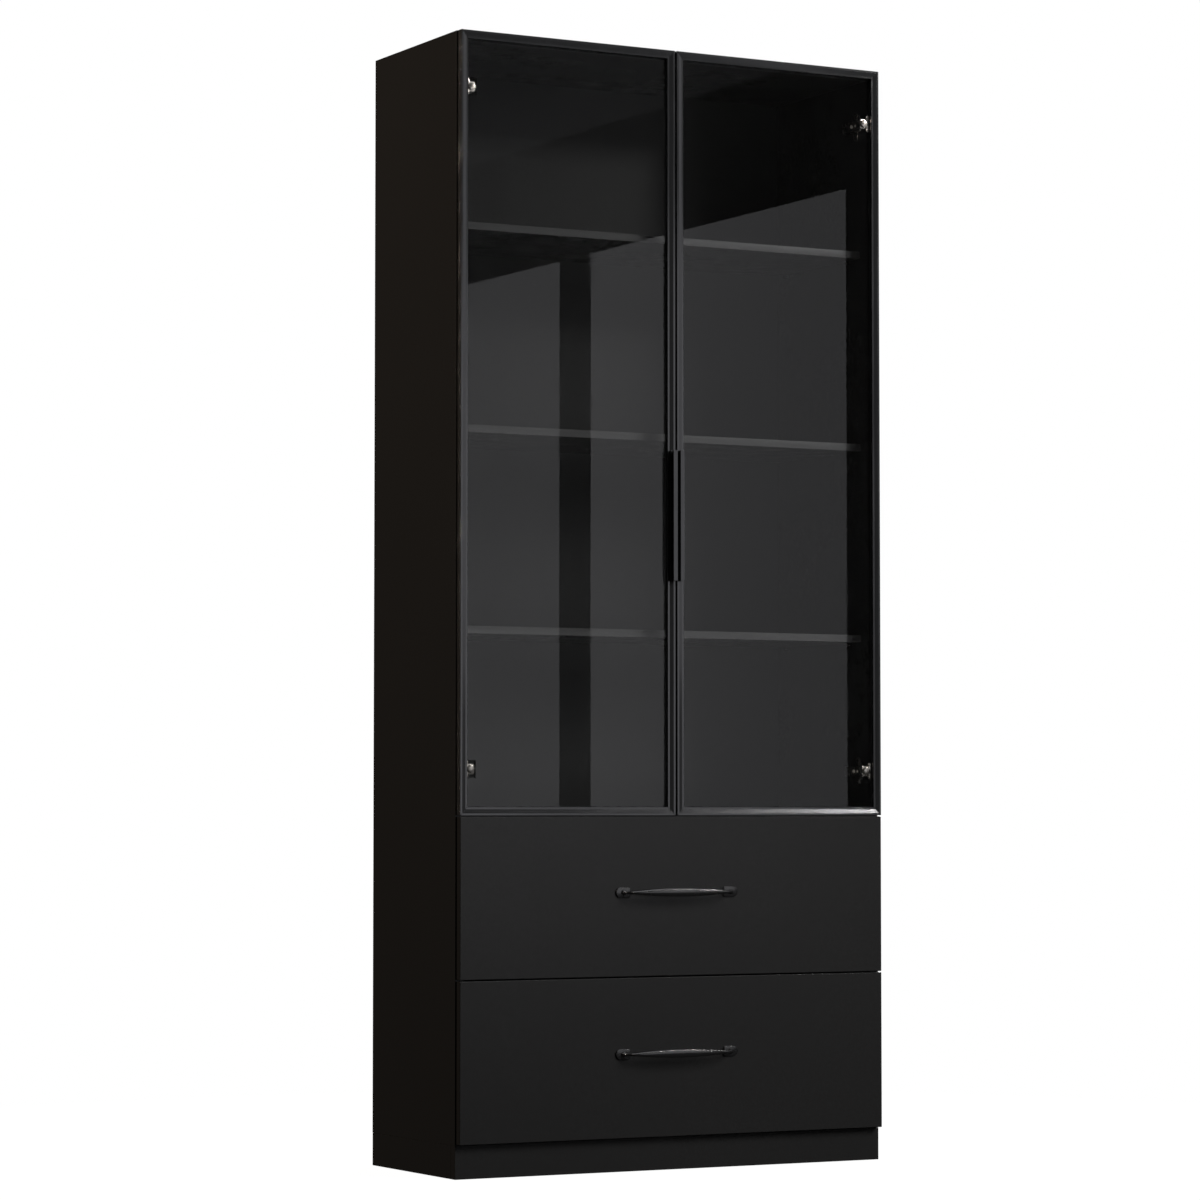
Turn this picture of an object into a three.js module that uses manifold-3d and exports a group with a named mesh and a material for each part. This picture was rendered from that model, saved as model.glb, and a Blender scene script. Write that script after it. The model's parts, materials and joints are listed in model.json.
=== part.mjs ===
// China cabinet with two framed glass doors above two drawers.
// Millimetres, +Z up, front towards -Y, origin at the centre of the footprint on the floor.
import * as THREE from "three";
import { mergeVertices } from "three/addons/utils/BufferGeometryUtils.js";
import Module from "manifold-3d";

const wasm = await Module();
wasm.setup();

// ---- Carcass ----
const width = 800;
const height = 1850;
const carcassDepth = 306;
const plinthHeight = 54;
const sideBoard = 15;
const topBoard = 15;
const baseBoard = 12;
const dividerBoard = 12;
const shelfBoard = 12;
const backBoard = 5;
const backRabbet = 6;
const plinthBoard = 15;
const jointGap = 0.3;
const cutOverrun = 1;
const roundSides = 16;
const weldDistance = 1e-4;

// ---- Shelves: heights of their top faces as shares of the clear height behind the doors ----
const shelfShares = { lower: 0.2412, middle: 0.5025, upper: 0.7671 };
const shelfSetback = 27;
const looseShelfGap = 0.8;
const pinRadius = 2.4;
const pinShank = 8.5;
const pinClearance = 0.2;
const pinEndClearance = 0.5;
const pegRadius = 3.5;
const pegLength = 9;
const pinInset = 35;

// ---- Doors and drawer fronts ----
const reveal = 1.6;
const frontGap = 2;
const plinthReveal = 1.3;
const doorMeetingGap = 3.5;
const doorToCarcass = 1;
const doorDepth = 13;
const lowerFrontHeight = 260.3;
const upperFrontHeight = 261;
const drawerFrontBoard = 12;

// ---- Door frame section ----
const frameFace = 13.3;
const frameLip = 3.5;
const frameSlopeEnd = 10;
const frameStep = 2;
const frameWall = 1.5;
const glassRebateWall = 4;
const glass = 4;

// ---- Edge handles on the meeting stiles ----
const handleLength = 216;
const handleAboveDoorBottom = 494.4;
const handleInset = 1;
const handleWall = 1.3;
const handleLip = 7.8;
const handleBase = 9;
const handleProjection = 10;

// ---- Concealed hinges ----
const hingeFromTop = 90;
const hingeFromBottom = 74.4;
const cupPlateHeight = 28;
const cupHeight = 18;
const cupDepth = 12;
const cupPlate = 18;
const notchGap = 0.5;
const armLength = 62;
const armToe = 7;
const armHeight = 18;
const armRise = 10;
const armChamfer = 1.5;
const wingHeight = 48;
const wingWidth = 14;
const wingFromFront = 37;
const hingePlate = 2.5;

// ---- Drawers ----
const runnerSpace = 13;
const drawerBoard = 12;
const drawerBottomBoard = 5;
const drawerSideHeight = 180;
const drawerRise = 22;
const bottomRise = 10;
const grooveDepth = 5;
const drawerRearSpace = 51;
const runnerRise = 60;
const runnerHeight = 35;
const runnerSteel = 1.2;
const runnerFlange = 10;
const runnerPlay = 0.5;
const runnerSetback = 3;

// ---- Bow pulls ----
const pullCentres = 203;
const pullBelowTop = 124;
const footWidth = 27;
const footHeight = 17;
const footThickness = 2.5;
const footCorner = 3;
const pullProjection = 24;
const gripThickness = 5;
const gripMiddle = 13.5;
const gripEnd = 5;
const neckInset = 14;
const neckRun = 5;
const neckRise = 6;
const shoulderDrop = 3.5;
const bowShare = 0.7;
const bowDrop = 0.8;
const gripSteps = 12;
const gripSides = 12;

// ---- Planes worked out from the sizes above ----
const frontDepth = doorToCarcass + doorDepth;
const totalDepth = carcassDepth + frontDepth + pullProjection;
const back = totalDepth / 2;
const carcassFront = back - carcassDepth;
const frontPlane = carcassFront - frontDepth;
const doorBack = carcassFront - doorToCarcass;
const outer = width / 2;
const inner = outer - sideBoard;
const backFace = back - backBoard;
const lowerFrontBottom = plinthHeight + plinthReveal;
const upperFrontBottom = lowerFrontBottom + lowerFrontHeight + frontGap;
const upperFrontTop = upperFrontBottom + upperFrontHeight;
const doorBottom = upperFrontTop + frontGap;
const dividerMiddle = upperFrontTop + frontGap / 2;
const dividerTop = dividerMiddle + dividerBoard / 2;
const clearTop = height - topBoard;
const glassSeat = doorDepth - glass;

const finishes = {
  board: new THREE.MeshStandardMaterial({ color: 0x1b1917, roughness: 0.55, metalness: 0 }),
  core: new THREE.MeshStandardMaterial({ color: 0x24211f, roughness: 0.7, metalness: 0 }),
  frame: new THREE.MeshStandardMaterial({ color: 0x1c1c1d, roughness: 0.35, metalness: 0.8 }),
  pull: new THREE.MeshStandardMaterial({ color: 0x101010, roughness: 0.3, metalness: 0.6 }),
  steel: new THREE.MeshStandardMaterial({ color: 0xb9b7b2, roughness: 0.3, metalness: 1 }),
  glass: new THREE.MeshStandardMaterial({
    color: 0x8a8f92,
    roughness: 0.05,
    metalness: 0,
    transparent: true,
    opacity: 0.35,
  }),
};

// ---- Geometry helpers ----

// A box between two opposite corners given as ranges along X, Y and Z.
function box([x0, x1], [y0, y1], [z0, z1]) {
  const geometry = new THREE.BoxGeometry(x1 - x0, y1 - y0, z1 - z0);
  return geometry.translate((x0 + x1) / 2, (y0 + y1) / 2, (z0 + z1) / 2);
}

// A straight prism: a plane outline, with optional holes, carried along +Z.
function prism(outline, length, holes = []) {
  const shape = new THREE.Shape(outline.map(([x, y]) => new THREE.Vector2(x, y)));
  for (const hole of holes) {
    shape.holes.push(new THREE.Path(hole.map(([x, y]) => new THREE.Vector2(x, y))));
  }
  return new THREE.ExtrudeGeometry(shape, { depth: length, bevelEnabled: false });
}

// A prism whose outline lies in the XZ plane and runs from y0 to y1.
function prismAlongY(outline, [y0, y1]) {
  const geometry = prism(outline.map(([x, z]) => [x, -z]), y1 - y0);
  return geometry.rotateX(-Math.PI / 2).translate(0, y0, 0);
}

function toSolid(geometry) {
  const bare = geometry.clone();
  bare.deleteAttribute("normal");
  bare.deleteAttribute("uv");
  const merged = mergeVertices(bare, weldDistance);
  return new wasm.Manifold(
    new wasm.Mesh({
      numProp: 3,
      vertProperties: new Float32Array(merged.attributes.position.array),
      triVerts: new Uint32Array(merged.index.array),
    }),
  );
}

function toGeometry(solid) {
  const mesh = solid.getMesh();
  const geometry = new THREE.BufferGeometry();
  geometry.setAttribute("position", new THREE.BufferAttribute(mesh.vertProperties, 3));
  geometry.setIndex(new THREE.BufferAttribute(mesh.triVerts, 1));
  geometry.computeVertexNormals();
  return geometry;
}

function cut(geometry, tools) {
  return toGeometry(tools.reduce((solid, tool) => solid.subtract(toSolid(tool)), toSolid(geometry)));
}

function join(geometries) {
  return toGeometry(geometries.map(toSolid).reduce((solid, next) => solid.add(next)));
}

function piece(name, geometry, finish) {
  const mesh = new THREE.Mesh(geometry, finish);
  mesh.name = name;
  return mesh;
}

// ---- Carcass ----

const cabinet = new THREE.Group();

// Where one pin of a loose shelf stands, as the pin's axis on a side panel.
const shelfFront = carcassFront + shelfSetback;
const shelfBack = backFace - looseShelfGap;
const pinPlaces = { front: shelfFront + pinInset, rear: shelfBack - pinInset };
const shelfTop = (level) => dividerTop + (clearTop - dividerTop) * shelfShares[level];
const pinHeight = (level) => shelfTop(level) - shelfBoard - jointGap - pegRadius;
const looseShelves = ["upper", "lower"];

function cylinderAlongX(radius, x0, x1, y, z) {
  const geometry = new THREE.CylinderGeometry(radius, radius, Math.abs(x1 - x0), roundSides);
  return geometry.rotateZ(Math.PI / 2).translate((x0 + x1) / 2, y, z);
}

// Side panel: full height above the plinth, rebated at the rear for the back panel and
// drilled for the shelf pins. side is -1 for the left and 1 for the right.
function sidePanel(side) {
  const rebate = inner + backRabbet;
  const outline = [
    [side * outer, carcassFront],
    [side * outer, back],
    [side * rebate, back],
    [side * rebate, backFace - jointGap],
    [side * inner, backFace - jointGap],
    [side * inner, carcassFront],
  ];
  const panel = prism(outline, height - plinthHeight).translate(0, 0, plinthHeight);
  const mouth = side * (inner - cutOverrun);
  const holeEnd = side * (inner + pinShank + pinEndClearance);
  const holes = [];
  for (const level of looseShelves) {
    for (const y of Object.values(pinPlaces)) {
      holes.push(cylinderAlongX(pinRadius + pinClearance, mouth, holeEnd, y, pinHeight(level)));
    }
  }
  return cut(panel, holes);
}

// Shelf pin: a shank in the side panel's hole and a thicker peg that carries the shelf.
function shelfPin(side, level, y) {
  const shankEnd = inner + pinShank;
  const pegEnd = inner - jointGap;
  const profile = [
    [0, pegEnd - pegLength],
    [pegRadius, pegEnd - pegLength],
    [pegRadius, pegEnd],
    [pinRadius, pegEnd],
    [pinRadius, shankEnd],
    [0, shankEnd],
  ];
  const geometry = new THREE.LatheGeometry(profile.map(([r, a]) => new THREE.Vector2(r, a)), roundSides);
  return geometry.rotateZ((-side * Math.PI) / 2).translate(0, y, pinHeight(level));
}

const betweenSides = [-(inner - jointGap), inner - jointGap];
const carcassRun = [carcassFront, backFace - jointGap];

cabinet.add(
  piece("left_side_panel", sidePanel(-1), finishes.board),
  piece("right_side_panel", sidePanel(1), finishes.board),
  piece("top_panel", box(betweenSides, carcassRun, [clearTop, height]), finishes.board),
  piece(
    "divider_panel",
    box(betweenSides, carcassRun, [dividerTop - dividerBoard, dividerTop]),
    finishes.board,
  ),
  piece(
    "base_panel",
    box(betweenSides, carcassRun, [plinthHeight, plinthHeight + baseBoard]),
    finishes.board,
  ),
);

const backHalfWidth = inner + backRabbet - jointGap;
cabinet.add(
  piece(
    "back_panel",
    box([-backHalfWidth, backHalfWidth], [backFace, back], [plinthHeight, height]),
    finishes.board,
  ),
);

const plinthTop = plinthHeight - jointGap;
const plinthInside = carcassFront + plinthBoard;
cabinet.add(
  piece(
    "plinth_front",
    box([-outer, outer], [carcassFront, plinthInside], [0, plinthTop]),
    finishes.board,
  ),
);
// The plinth's side boards are as thick as the side panels that stand on them.
for (const [name, side] of [["plinth_left", -1], ["plinth_right", 1]]) {
  const span = [side * outer, side * inner].sort((a, b) => a - b);
  const run = [plinthInside + jointGap, back];
  cabinet.add(piece(name, box(span, run, [0, plinthTop]), finishes.board));
}

for (const level of Object.keys(shelfShares)) {
  const sideGap = looseShelves.includes(level) ? looseShelfGap : jointGap;
  const span = [-(inner - sideGap), inner - sideGap];
  const top = shelfTop(level);
  const shelf = box(span, [shelfFront, shelfBack], [top - shelfBoard, top]);
  cabinet.add(piece(`${level}_shelf`, shelf, finishes.board));
}

for (const level of looseShelves) {
  for (const [place, y] of Object.entries(pinPlaces)) {
    for (const [hand, side] of [["left", -1], ["right", 1]]) {
      cabinet.add(piece(`shelf_pin_${level}_${place}_${hand}`, shelfPin(side, level, y), finishes.steel));
    }
  }
}

// ---- Hinges ----

const hingeHeights = { upper: height - hingeFromTop, lower: doorBottom + hingeFromBottom };

// Fixed half of a hinge: a winged plate on the side panel and a raised arm that reaches the door.
function hingeArm(side, z) {
  const face = inner - jointGap;
  const plateTop = face - hingePlate;
  const armTop = plateTop - armRise;
  const armFront = doorBack + cupDepth + jointGap;
  const across = (a, b) => [side * a, side * b].sort((p, q) => p - q);
  const wingMiddle = carcassFront + wingFromFront;
  const wing = box(
    across(face, plateTop),
    [wingMiddle - wingWidth / 2, wingMiddle + wingWidth / 2],
    [z - wingHeight / 2, z + wingHeight / 2],
  );
  const plate = box(
    across(face, plateTop - armChamfer),
    [armFront + armToe, armFront + armLength],
    [z - armHeight / 2, z + armHeight / 2],
  );
  const arm = prismAlongY(
    [
      [side * plateTop, z - armHeight / 2],
      [side * plateTop, z + armHeight / 2],
      [side * (armTop + armChamfer), z + armHeight / 2],
      [side * armTop, z + armHeight / 2 - armChamfer],
      [side * armTop, z - armHeight / 2 + armChamfer],
      [side * (armTop + armChamfer), z - armHeight / 2],
    ],
    [armFront, armFront + armLength - armToe],
  );
  return join([arm, plate, wing]);
}

// Door half of a hinge: a plate let into the glass notch against the frame, and the cup behind it.
function hingeCup(side, z) {
  const doorEdge = outer - reveal;
  const plateOuter = doorEdge - glassRebateWall - 2 * jointGap;
  const plateInner = doorEdge - frameFace - cupPlate;
  const cupOuter = inner - 2 * jointGap;
  const across = (a, b) => [side * a, side * b].sort((p, q) => p - q);
  const plate = box(
    across(plateInner, plateOuter),
    [frontPlane + glassSeat, doorBack - jointGap],
    [z - cupPlateHeight / 2, z + cupPlateHeight / 2],
  );
  const cup = box(
    across(plateInner, cupOuter),
    [doorBack - glass / 2, doorBack + cupDepth],
    [z - cupHeight / 2, z + cupHeight / 2],
  );
  return join([plate, cup]);
}

for (const [hand, side] of [["left", -1], ["right", 1]]) {
  for (const [place, z] of Object.entries(hingeHeights)) {
    cabinet.add(piece(`hinge_arm_${hand}_${place}`, hingeArm(side, z), finishes.steel));
  }
}

// ---- Doors ----

// Section of the door frame: across from the door's edge inwards, and back from the front face.
// A raised lip runs round the edge, the face slopes back to a step, and a rebate holds the glass.
const frameOutline = [
  [0, 0],
  [frameLip, 0],
  [frameSlopeEnd, frameStep],
  [frameFace, frameStep],
  [frameFace, glassSeat - jointGap],
  [glassRebateWall, glassSeat - jointGap],
  [glassRebateWall, doorDepth],
  [0, doorDepth],
];
const frameChamber = [
  [frameWall, frameWall],
  [frameLip, frameWall],
  [frameSlopeEnd, frameStep + frameWall],
  [frameFace - frameWall, frameStep + frameWall],
  [frameFace - frameWall, glassSeat - jointGap - frameWall],
  [frameWall, glassSeat - jointGap - frameWall],
];

// A length of the frame section with both ends mitred, standing along +Z.
function mitredLength(length) {
  const geometry = prism(frameOutline, length, [frameChamber]);
  const setback = jointGap / Math.SQRT2;
  const places = geometry.attributes.position;
  for (let i = 0; i < places.count; i += 1) {
    const inset = places.getX(i) + setback;
    places.setZ(i, places.getZ(i) < length / 2 ? inset : length - inset);
  }
  return geometry;
}

// Section of an edge handle, in the same plane as the frame section: a base on the frame's face,
// a web that stands forward near the door's edge, and a lip that turns towards the door's middle.
const handleOutline = [
  [handleInset, -jointGap],
  [handleInset + handleBase, -jointGap],
  [handleInset + handleBase, -jointGap - handleWall],
  [handleInset + handleWall, -jointGap - handleWall],
  [handleInset + handleWall, handleWall - handleProjection],
  [handleInset + handleLip, handleWall - handleProjection],
  [handleInset + handleLip, -handleProjection],
  [handleInset, -handleProjection],
];

// Glass pane with a notch round each hinge plate, drawn in the door's plane.
function glassPane(edgeX, meetX, side) {
  const hingeX = edgeX - side * (glassRebateWall + jointGap);
  const notchX = edgeX - side * (frameFace + cupPlate + notchGap);
  const farX = meetX + side * (glassRebateWall + jointGap);
  const low = doorBottom + glassRebateWall + jointGap;
  const high = height - glassRebateWall - jointGap;
  const halfNotch = cupPlateHeight / 2 + notchGap;
  const outline = [
    [farX, low],
    [hingeX, low],
  ];
  for (const z of [hingeHeights.lower, hingeHeights.upper]) {
    outline.push([hingeX, z - halfNotch], [notchX, z - halfNotch]);
    outline.push([notchX, z + halfNotch], [hingeX, z + halfNotch]);
  }
  outline.push([hingeX, high], [farX, high]);
  return prismAlongY(outline, [frontPlane + glassSeat, doorBack]);
}

function door(hand, side) {
  const group = new THREE.Group();
  const edge = side * (outer - reveal);
  const meet = (side * doorMeetingGap) / 2;
  const [left, right] = [edge, meet].sort((a, b) => a - b);
  const tall = height - doorBottom;
  const wide = right - left;
  const stiles = side < 0 ? ["hinge_stile", "meeting_stile"] : ["meeting_stile", "hinge_stile"];
  // Each member starts at one corner, and a quarter turn about Y takes it to the next side.
  const members = [
    [stiles[0], tall, left, doorBottom, 0],
    ["top_rail", wide, left, height, 1],
    [stiles[1], tall, right, height, 2],
    ["bottom_rail", wide, right, doorBottom, 3],
  ];
  for (const [name, length, x, z, quarterTurns] of members) {
    const member = piece(`${hand}_door_${name}`, mitredLength(length), finishes.frame);
    member.rotation.y = (quarterTurns * Math.PI) / 2;
    member.position.set(x, frontPlane, z);
    group.add(member);
  }
  group.add(piece(`${hand}_door_glass`, glassPane(edge, meet, side), finishes.glass));

  const handle = piece(`${hand}_door_handle`, prism(handleOutline, handleLength), finishes.frame);
  const handleMiddle = doorBottom + handleAboveDoorBottom;
  handle.rotation.y = side < 0 ? Math.PI : 0;
  handle.position.set(meet, frontPlane, handleMiddle + (side < 0 ? 1 : -1) * (handleLength / 2));
  group.add(handle);

  for (const [place, z] of Object.entries(hingeHeights)) {
    group.add(piece(`${hand}_door_hinge_cup_${place}`, hingeCup(side, z), finishes.steel));
  }
  return group;
}

cabinet.add(door("left", -1), door("right", 1));

// ---- Drawers ----

const boxHalfWidth = inner - runnerSpace;
const boxFront = carcassFront - frontDepth + drawerFrontBoard + jointGap;
const boxBack = backFace - drawerRearSpace;

// Side board of a drawer, with the groove that holds the bottom.
function drawerSide(side, floor) {
  const outside = side * boxHalfWidth;
  const inside = side * (boxHalfWidth - drawerBoard);
  const root = side * (boxHalfWidth - drawerBoard + grooveDepth);
  const top = floor + drawerSideHeight;
  const grooveLow = floor + bottomRise - jointGap;
  const grooveHigh = floor + bottomRise + drawerBottomBoard + jointGap;
  const outline = [
    [outside, floor],
    [outside, top],
    [inside, top],
    [inside, grooveHigh],
    [root, grooveHigh],
    [root, grooveLow],
    [inside, grooveLow],
    [inside, floor],
  ];
  return prismAlongY(outline, [boxFront, boxBack]);
}

// A steel channel seen along its length: a web at one face and two flanges that reach across.
function channel(web, reach, middle, tall, run) {
  const towards = Math.sign(reach);
  const high = middle + tall / 2;
  const low = middle - tall / 2;
  return prismAlongY(
    [
      [web, low],
      [web + reach, low],
      [web + reach, low + runnerSteel],
      [web + towards * runnerSteel, low + runnerSteel],
      [web + towards * runnerSteel, high - runnerSteel],
      [web + reach, high - runnerSteel],
      [web + reach, high],
      [web, high],
    ],
    run,
  );
}

// Rounded tab of a pull: a half circle at the outer end and small corners at the inner end.
function pullFoot(side, z) {
  const half = footHeight / 2;
  const innerEnd = footWidth - half;
  const shape = new THREE.Shape();
  shape.absarc(0, 0, half, Math.PI / 2, (3 * Math.PI) / 2, false);
  shape.lineTo(innerEnd - footCorner, -half);
  shape.absarc(innerEnd - footCorner, footCorner - half, footCorner, -Math.PI / 2, 0, false);
  shape.absarc(innerEnd - footCorner, half - footCorner, footCorner, 0, Math.PI / 2, false);
  const options = { depth: footThickness, bevelEnabled: false, curveSegments: 6 };
  const geometry = new THREE.ExtrudeGeometry(shape, options);
  // The tab lies against the front, its round end away from the grip.
  geometry.rotateX(Math.PI / 2);
  if (side > 0) {
    geometry.rotateY(Math.PI);
  }
  const roundCentre = side * (pullCentres / 2 + footWidth / 2 - half);
  return geometry.translate(roundCentre, frontPlane - jointGap, z);
}

// Grip of a pull: rings of an oval section along a bowed centre line, closed at both ends.
function pullGrip(z) {
  const reach = pullCentres / 2;
  const shoulder = reach - neckInset;
  const footFace = frontPlane - jointGap - footThickness;
  const crest = frontPlane - pullProjection + gripThickness / 2;
  const half = new THREE.CatmullRomCurve3([
    new THREE.Vector3(reach, footFace, z),
    new THREE.Vector3(reach - neckRun, footFace - neckRise, z),
    new THREE.Vector3(shoulder, crest + shoulderDrop, z),
    new THREE.Vector3(shoulder * bowShare, crest + bowDrop, z),
    new THREE.Vector3(0, crest, z),
  ]);
  const points = half.getPoints(gripSteps);
  const mirrored = points.slice(0, -1).reverse().map((p) => new THREE.Vector3(-p.x, p.y, z));
  const line = [...points, ...mirrored];
  const sides = gripSides;
  const vertices = [];
  line.forEach((point, i) => {
    const before = line[Math.max(i - 1, 0)];
    const after = line[Math.min(i + 1, line.length - 1)];
    const along = after.clone().sub(before).normalize();
    const outward = new THREE.Vector3(along.y, -along.x, 0);
    const share = Math.min(Math.abs(point.x) / shoulder, 1);
    const tall = gripEnd + (gripMiddle - gripEnd) * (1 - share * share);
    for (let k = 0; k < sides; k += 1) {
      const angle = (2 * Math.PI * k) / sides;
      const offset = (Math.cos(angle) * gripThickness) / 2;
      vertices.push(
        point.x + outward.x * offset,
        point.y + outward.y * offset,
        point.z + (Math.sin(angle) * tall) / 2,
      );
    }
  });
  const triangles = [];
  for (let i = 0; i < line.length - 1; i += 1) {
    for (let k = 0; k < sides; k += 1) {
      const a = i * sides + k;
      const b = i * sides + ((k + 1) % sides);
      triangles.push(a, a + sides, b, b, a + sides, b + sides);
    }
  }
  const last = (line.length - 1) * sides;
  for (let k = 1; k < sides - 1; k += 1) {
    triangles.push(0, k, k + 1, last, last + k + 1, last + k);
  }
  const geometry = new THREE.BufferGeometry();
  geometry.setAttribute("position", new THREE.Float32BufferAttribute(vertices, 3));
  geometry.setIndex(triangles);
  return geometry;
}

function drawer(level, frontBottom, frontHeight) {
  const group = new THREE.Group();
  const name = (part) => `${level}_drawer_${part}`;
  const floor = frontBottom + drawerRise;
  const bottomLow = floor + bottomRise;
  const bottomHigh = bottomLow + drawerBottomBoard;
  const insideHalf = boxHalfWidth - drawerBoard;
  const frontBackFace = boxFront - jointGap;

  const front = box(
    [-(outer - reveal), outer - reveal],
    [frontPlane, frontBackFace],
    [frontBottom, frontBottom + frontHeight],
  );
  const grooveHalf = insideHalf + grooveDepth;
  const groove = box(
    [-grooveHalf, grooveHalf],
    [frontBackFace - grooveDepth, frontBackFace + cutOverrun],
    [bottomLow - jointGap, bottomHigh + jointGap],
  );
  group.add(piece(name("front"), cut(front, [groove]), finishes.board));

  for (const [hand, side] of [["left", -1], ["right", 1]]) {
    group.add(piece(name(`${hand}_side`), drawerSide(side, floor), finishes.core));
  }
  const backSpan = [-(insideHalf - jointGap), insideHalf - jointGap];
  const backRun = [boxBack - drawerBoard, boxBack];
  const backRise = [bottomHigh + jointGap, floor + drawerSideHeight];
  group.add(piece(name("back"), box(backSpan, backRun, backRise), finishes.core));

  const bottomHalf = grooveHalf - jointGap;
  const bottomRun = [frontBackFace - grooveDepth + jointGap, boxBack];
  const bottom = box([-bottomHalf, bottomHalf], bottomRun, [bottomLow, bottomHigh]);
  group.add(piece(name("bottom"), bottom, finishes.core));

  const pullHeight = frontBottom + frontHeight - pullBelowTop;
  const pullParts = [pullGrip(pullHeight), pullFoot(-1, pullHeight), pullFoot(1, pullHeight)];
  group.add(piece(name("pull"), join(pullParts), finishes.pull));

  const runnerMiddle = floor + runnerRise;
  const run = [carcassFront + runnerSetback, boxBack];
  const slideHeight = runnerHeight - 2 * (runnerSteel + runnerPlay);
  for (const [hand, side] of [["left", -1], ["right", 1]]) {
    const railWeb = side * (inner - jointGap);
    const rail = channel(railWeb, -side * runnerFlange, runnerMiddle, runnerHeight, run);
    cabinet.add(piece(`runner_rail_${level}_${hand}`, rail, finishes.steel));
    const slideWeb = side * (boxHalfWidth + jointGap);
    const slide = channel(slideWeb, side * runnerFlange, runnerMiddle, slideHeight, run);
    group.add(piece(name(`${hand}_slide`), slide, finishes.steel));
  }
  return group;
}

cabinet.add(
  drawer("lower", lowerFrontBottom, lowerFrontHeight),
  drawer("upper", upperFrontBottom, upperFrontHeight),
);

export default cabinet;
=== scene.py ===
"""Tall black china cabinet: rounded boards, framed glass doors, hinges, pulls, runners and small
fittings, built round the fixed frame as an add-on that is also run as a script."""

import json
import math

import bmesh
import bpy
import numpy as np
from bpy.props import FloatProperty, FloatVectorProperty, PointerProperty
from bpy.types import Operator, Panel, PropertyGroup
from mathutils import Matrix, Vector

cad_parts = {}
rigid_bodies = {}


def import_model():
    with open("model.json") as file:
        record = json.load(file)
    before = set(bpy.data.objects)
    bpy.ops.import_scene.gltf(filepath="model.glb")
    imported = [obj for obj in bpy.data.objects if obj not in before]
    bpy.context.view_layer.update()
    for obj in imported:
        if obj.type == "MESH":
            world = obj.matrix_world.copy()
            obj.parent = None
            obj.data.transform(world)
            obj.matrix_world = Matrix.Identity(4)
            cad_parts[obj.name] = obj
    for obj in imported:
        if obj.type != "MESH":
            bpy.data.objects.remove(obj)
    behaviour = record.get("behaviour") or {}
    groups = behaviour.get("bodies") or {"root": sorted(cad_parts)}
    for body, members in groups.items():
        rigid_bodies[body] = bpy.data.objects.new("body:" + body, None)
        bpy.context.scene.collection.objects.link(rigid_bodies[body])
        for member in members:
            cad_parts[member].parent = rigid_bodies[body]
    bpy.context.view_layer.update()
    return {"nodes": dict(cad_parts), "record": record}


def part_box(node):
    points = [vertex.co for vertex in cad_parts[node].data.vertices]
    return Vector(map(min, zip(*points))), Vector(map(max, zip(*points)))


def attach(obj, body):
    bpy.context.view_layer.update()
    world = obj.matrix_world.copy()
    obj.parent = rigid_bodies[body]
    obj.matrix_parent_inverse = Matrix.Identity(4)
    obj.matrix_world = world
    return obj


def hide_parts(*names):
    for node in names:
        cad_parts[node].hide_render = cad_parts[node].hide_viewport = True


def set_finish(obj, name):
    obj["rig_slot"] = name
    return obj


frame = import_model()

bl_info = {
    "name": "China Cabinet",
    "version": (1, 0, 0),
    "blender": (4, 5, 0),
    "location": "3D View > Sidebar > Cabinet",
    "description": "Builds the boards, doors, hinges, drawers and finishes of a tall china cabinet",
    "category": "Object",
}

MM = 0.001
HANDS = (("left", -1), ("right", 1))
LEVELS = ("lower", "upper")
X = np.array((1.0, 0.0, 0.0))
Y = np.array((0.0, 1.0, 0.0))
Z = np.array((0.0, 0.0, 1.0))

BODY_OF_NODE = {
    node: body for body, nodes in frame["record"]["behaviour"]["bodies"].items() for node in nodes
}
SLOT_OF_NODE = {row["node"]: row["material_slot"] for row in frame["record"]["subparts"]}


# ---------------------------------------------------------------- settings


def length(name, description, default, low=0.0, high=10.0):
    """A length in metres with the scene's unit."""
    return FloatProperty(
        name=name, description=description, default=default, min=low, max=high, unit="LENGTH", precision=5
    )


def colour(name, description, default):
    """A colour, as shares of red, green and blue light."""
    return FloatVectorProperty(
        name=name, description=description, default=default, size=3, min=0, max=1, subtype="COLOR"
    )


def share(name, description, default):
    """A number from 0 to 1."""
    return FloatProperty(
        name=name, description=description, default=default, min=0, max=1, subtype="FACTOR"
    )


def degrees(name, description, default):
    """An angle, kept in degrees."""
    return FloatProperty(name=name, description=description, default=default)


class BoardSettings(PropertyGroup):
    """Boards of the carcass, shelves and drawers."""

    edge: length("Edge radius", "Rounding of the taped board edges", 0.7 * MM)
    front_edge: length("Drawer front edge", "Rounding of the drawer fronts", 1.2 * MM)
    tape: length("Edge tape", "Thickness of the shelves' edge tape", 0.8 * MM)
    thin_edge: length("Back edge radius", "Rounding of the thin back board", 0.25 * MM)
    colour: colour("Foil colour", "Colour of the black foil", (0.0182, 0.0177, 0.0172))
    drawer_colour: colour("Drawer colour", "Colour of the drawer boxes", (0.024, 0.022, 0.021))
    roughness: share("Roughness", "How matte the foil is", 0.27)
    grain_size: length("Grain size", "Size of the foil's fine texture", 0.45 * MM)


class DoorSettings(PropertyGroup):
    """Door frames, handles and glass."""

    edge: length("Frame edge", "Rounding of the frame's arrises", 0.28 * MM)
    colour: colour("Frame colour", "Colour of the anodised frame", (0.105, 0.105, 0.108))
    roughness: share("Frame roughness", "How satin the frame is", 0.14)
    glass_colour: colour("Glass tint", "Colour of light through one pane", (0.86, 0.87, 0.875))
    bead: length("Bead width", "Width of the glazing bead that shows", 1.1 * MM)


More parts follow.
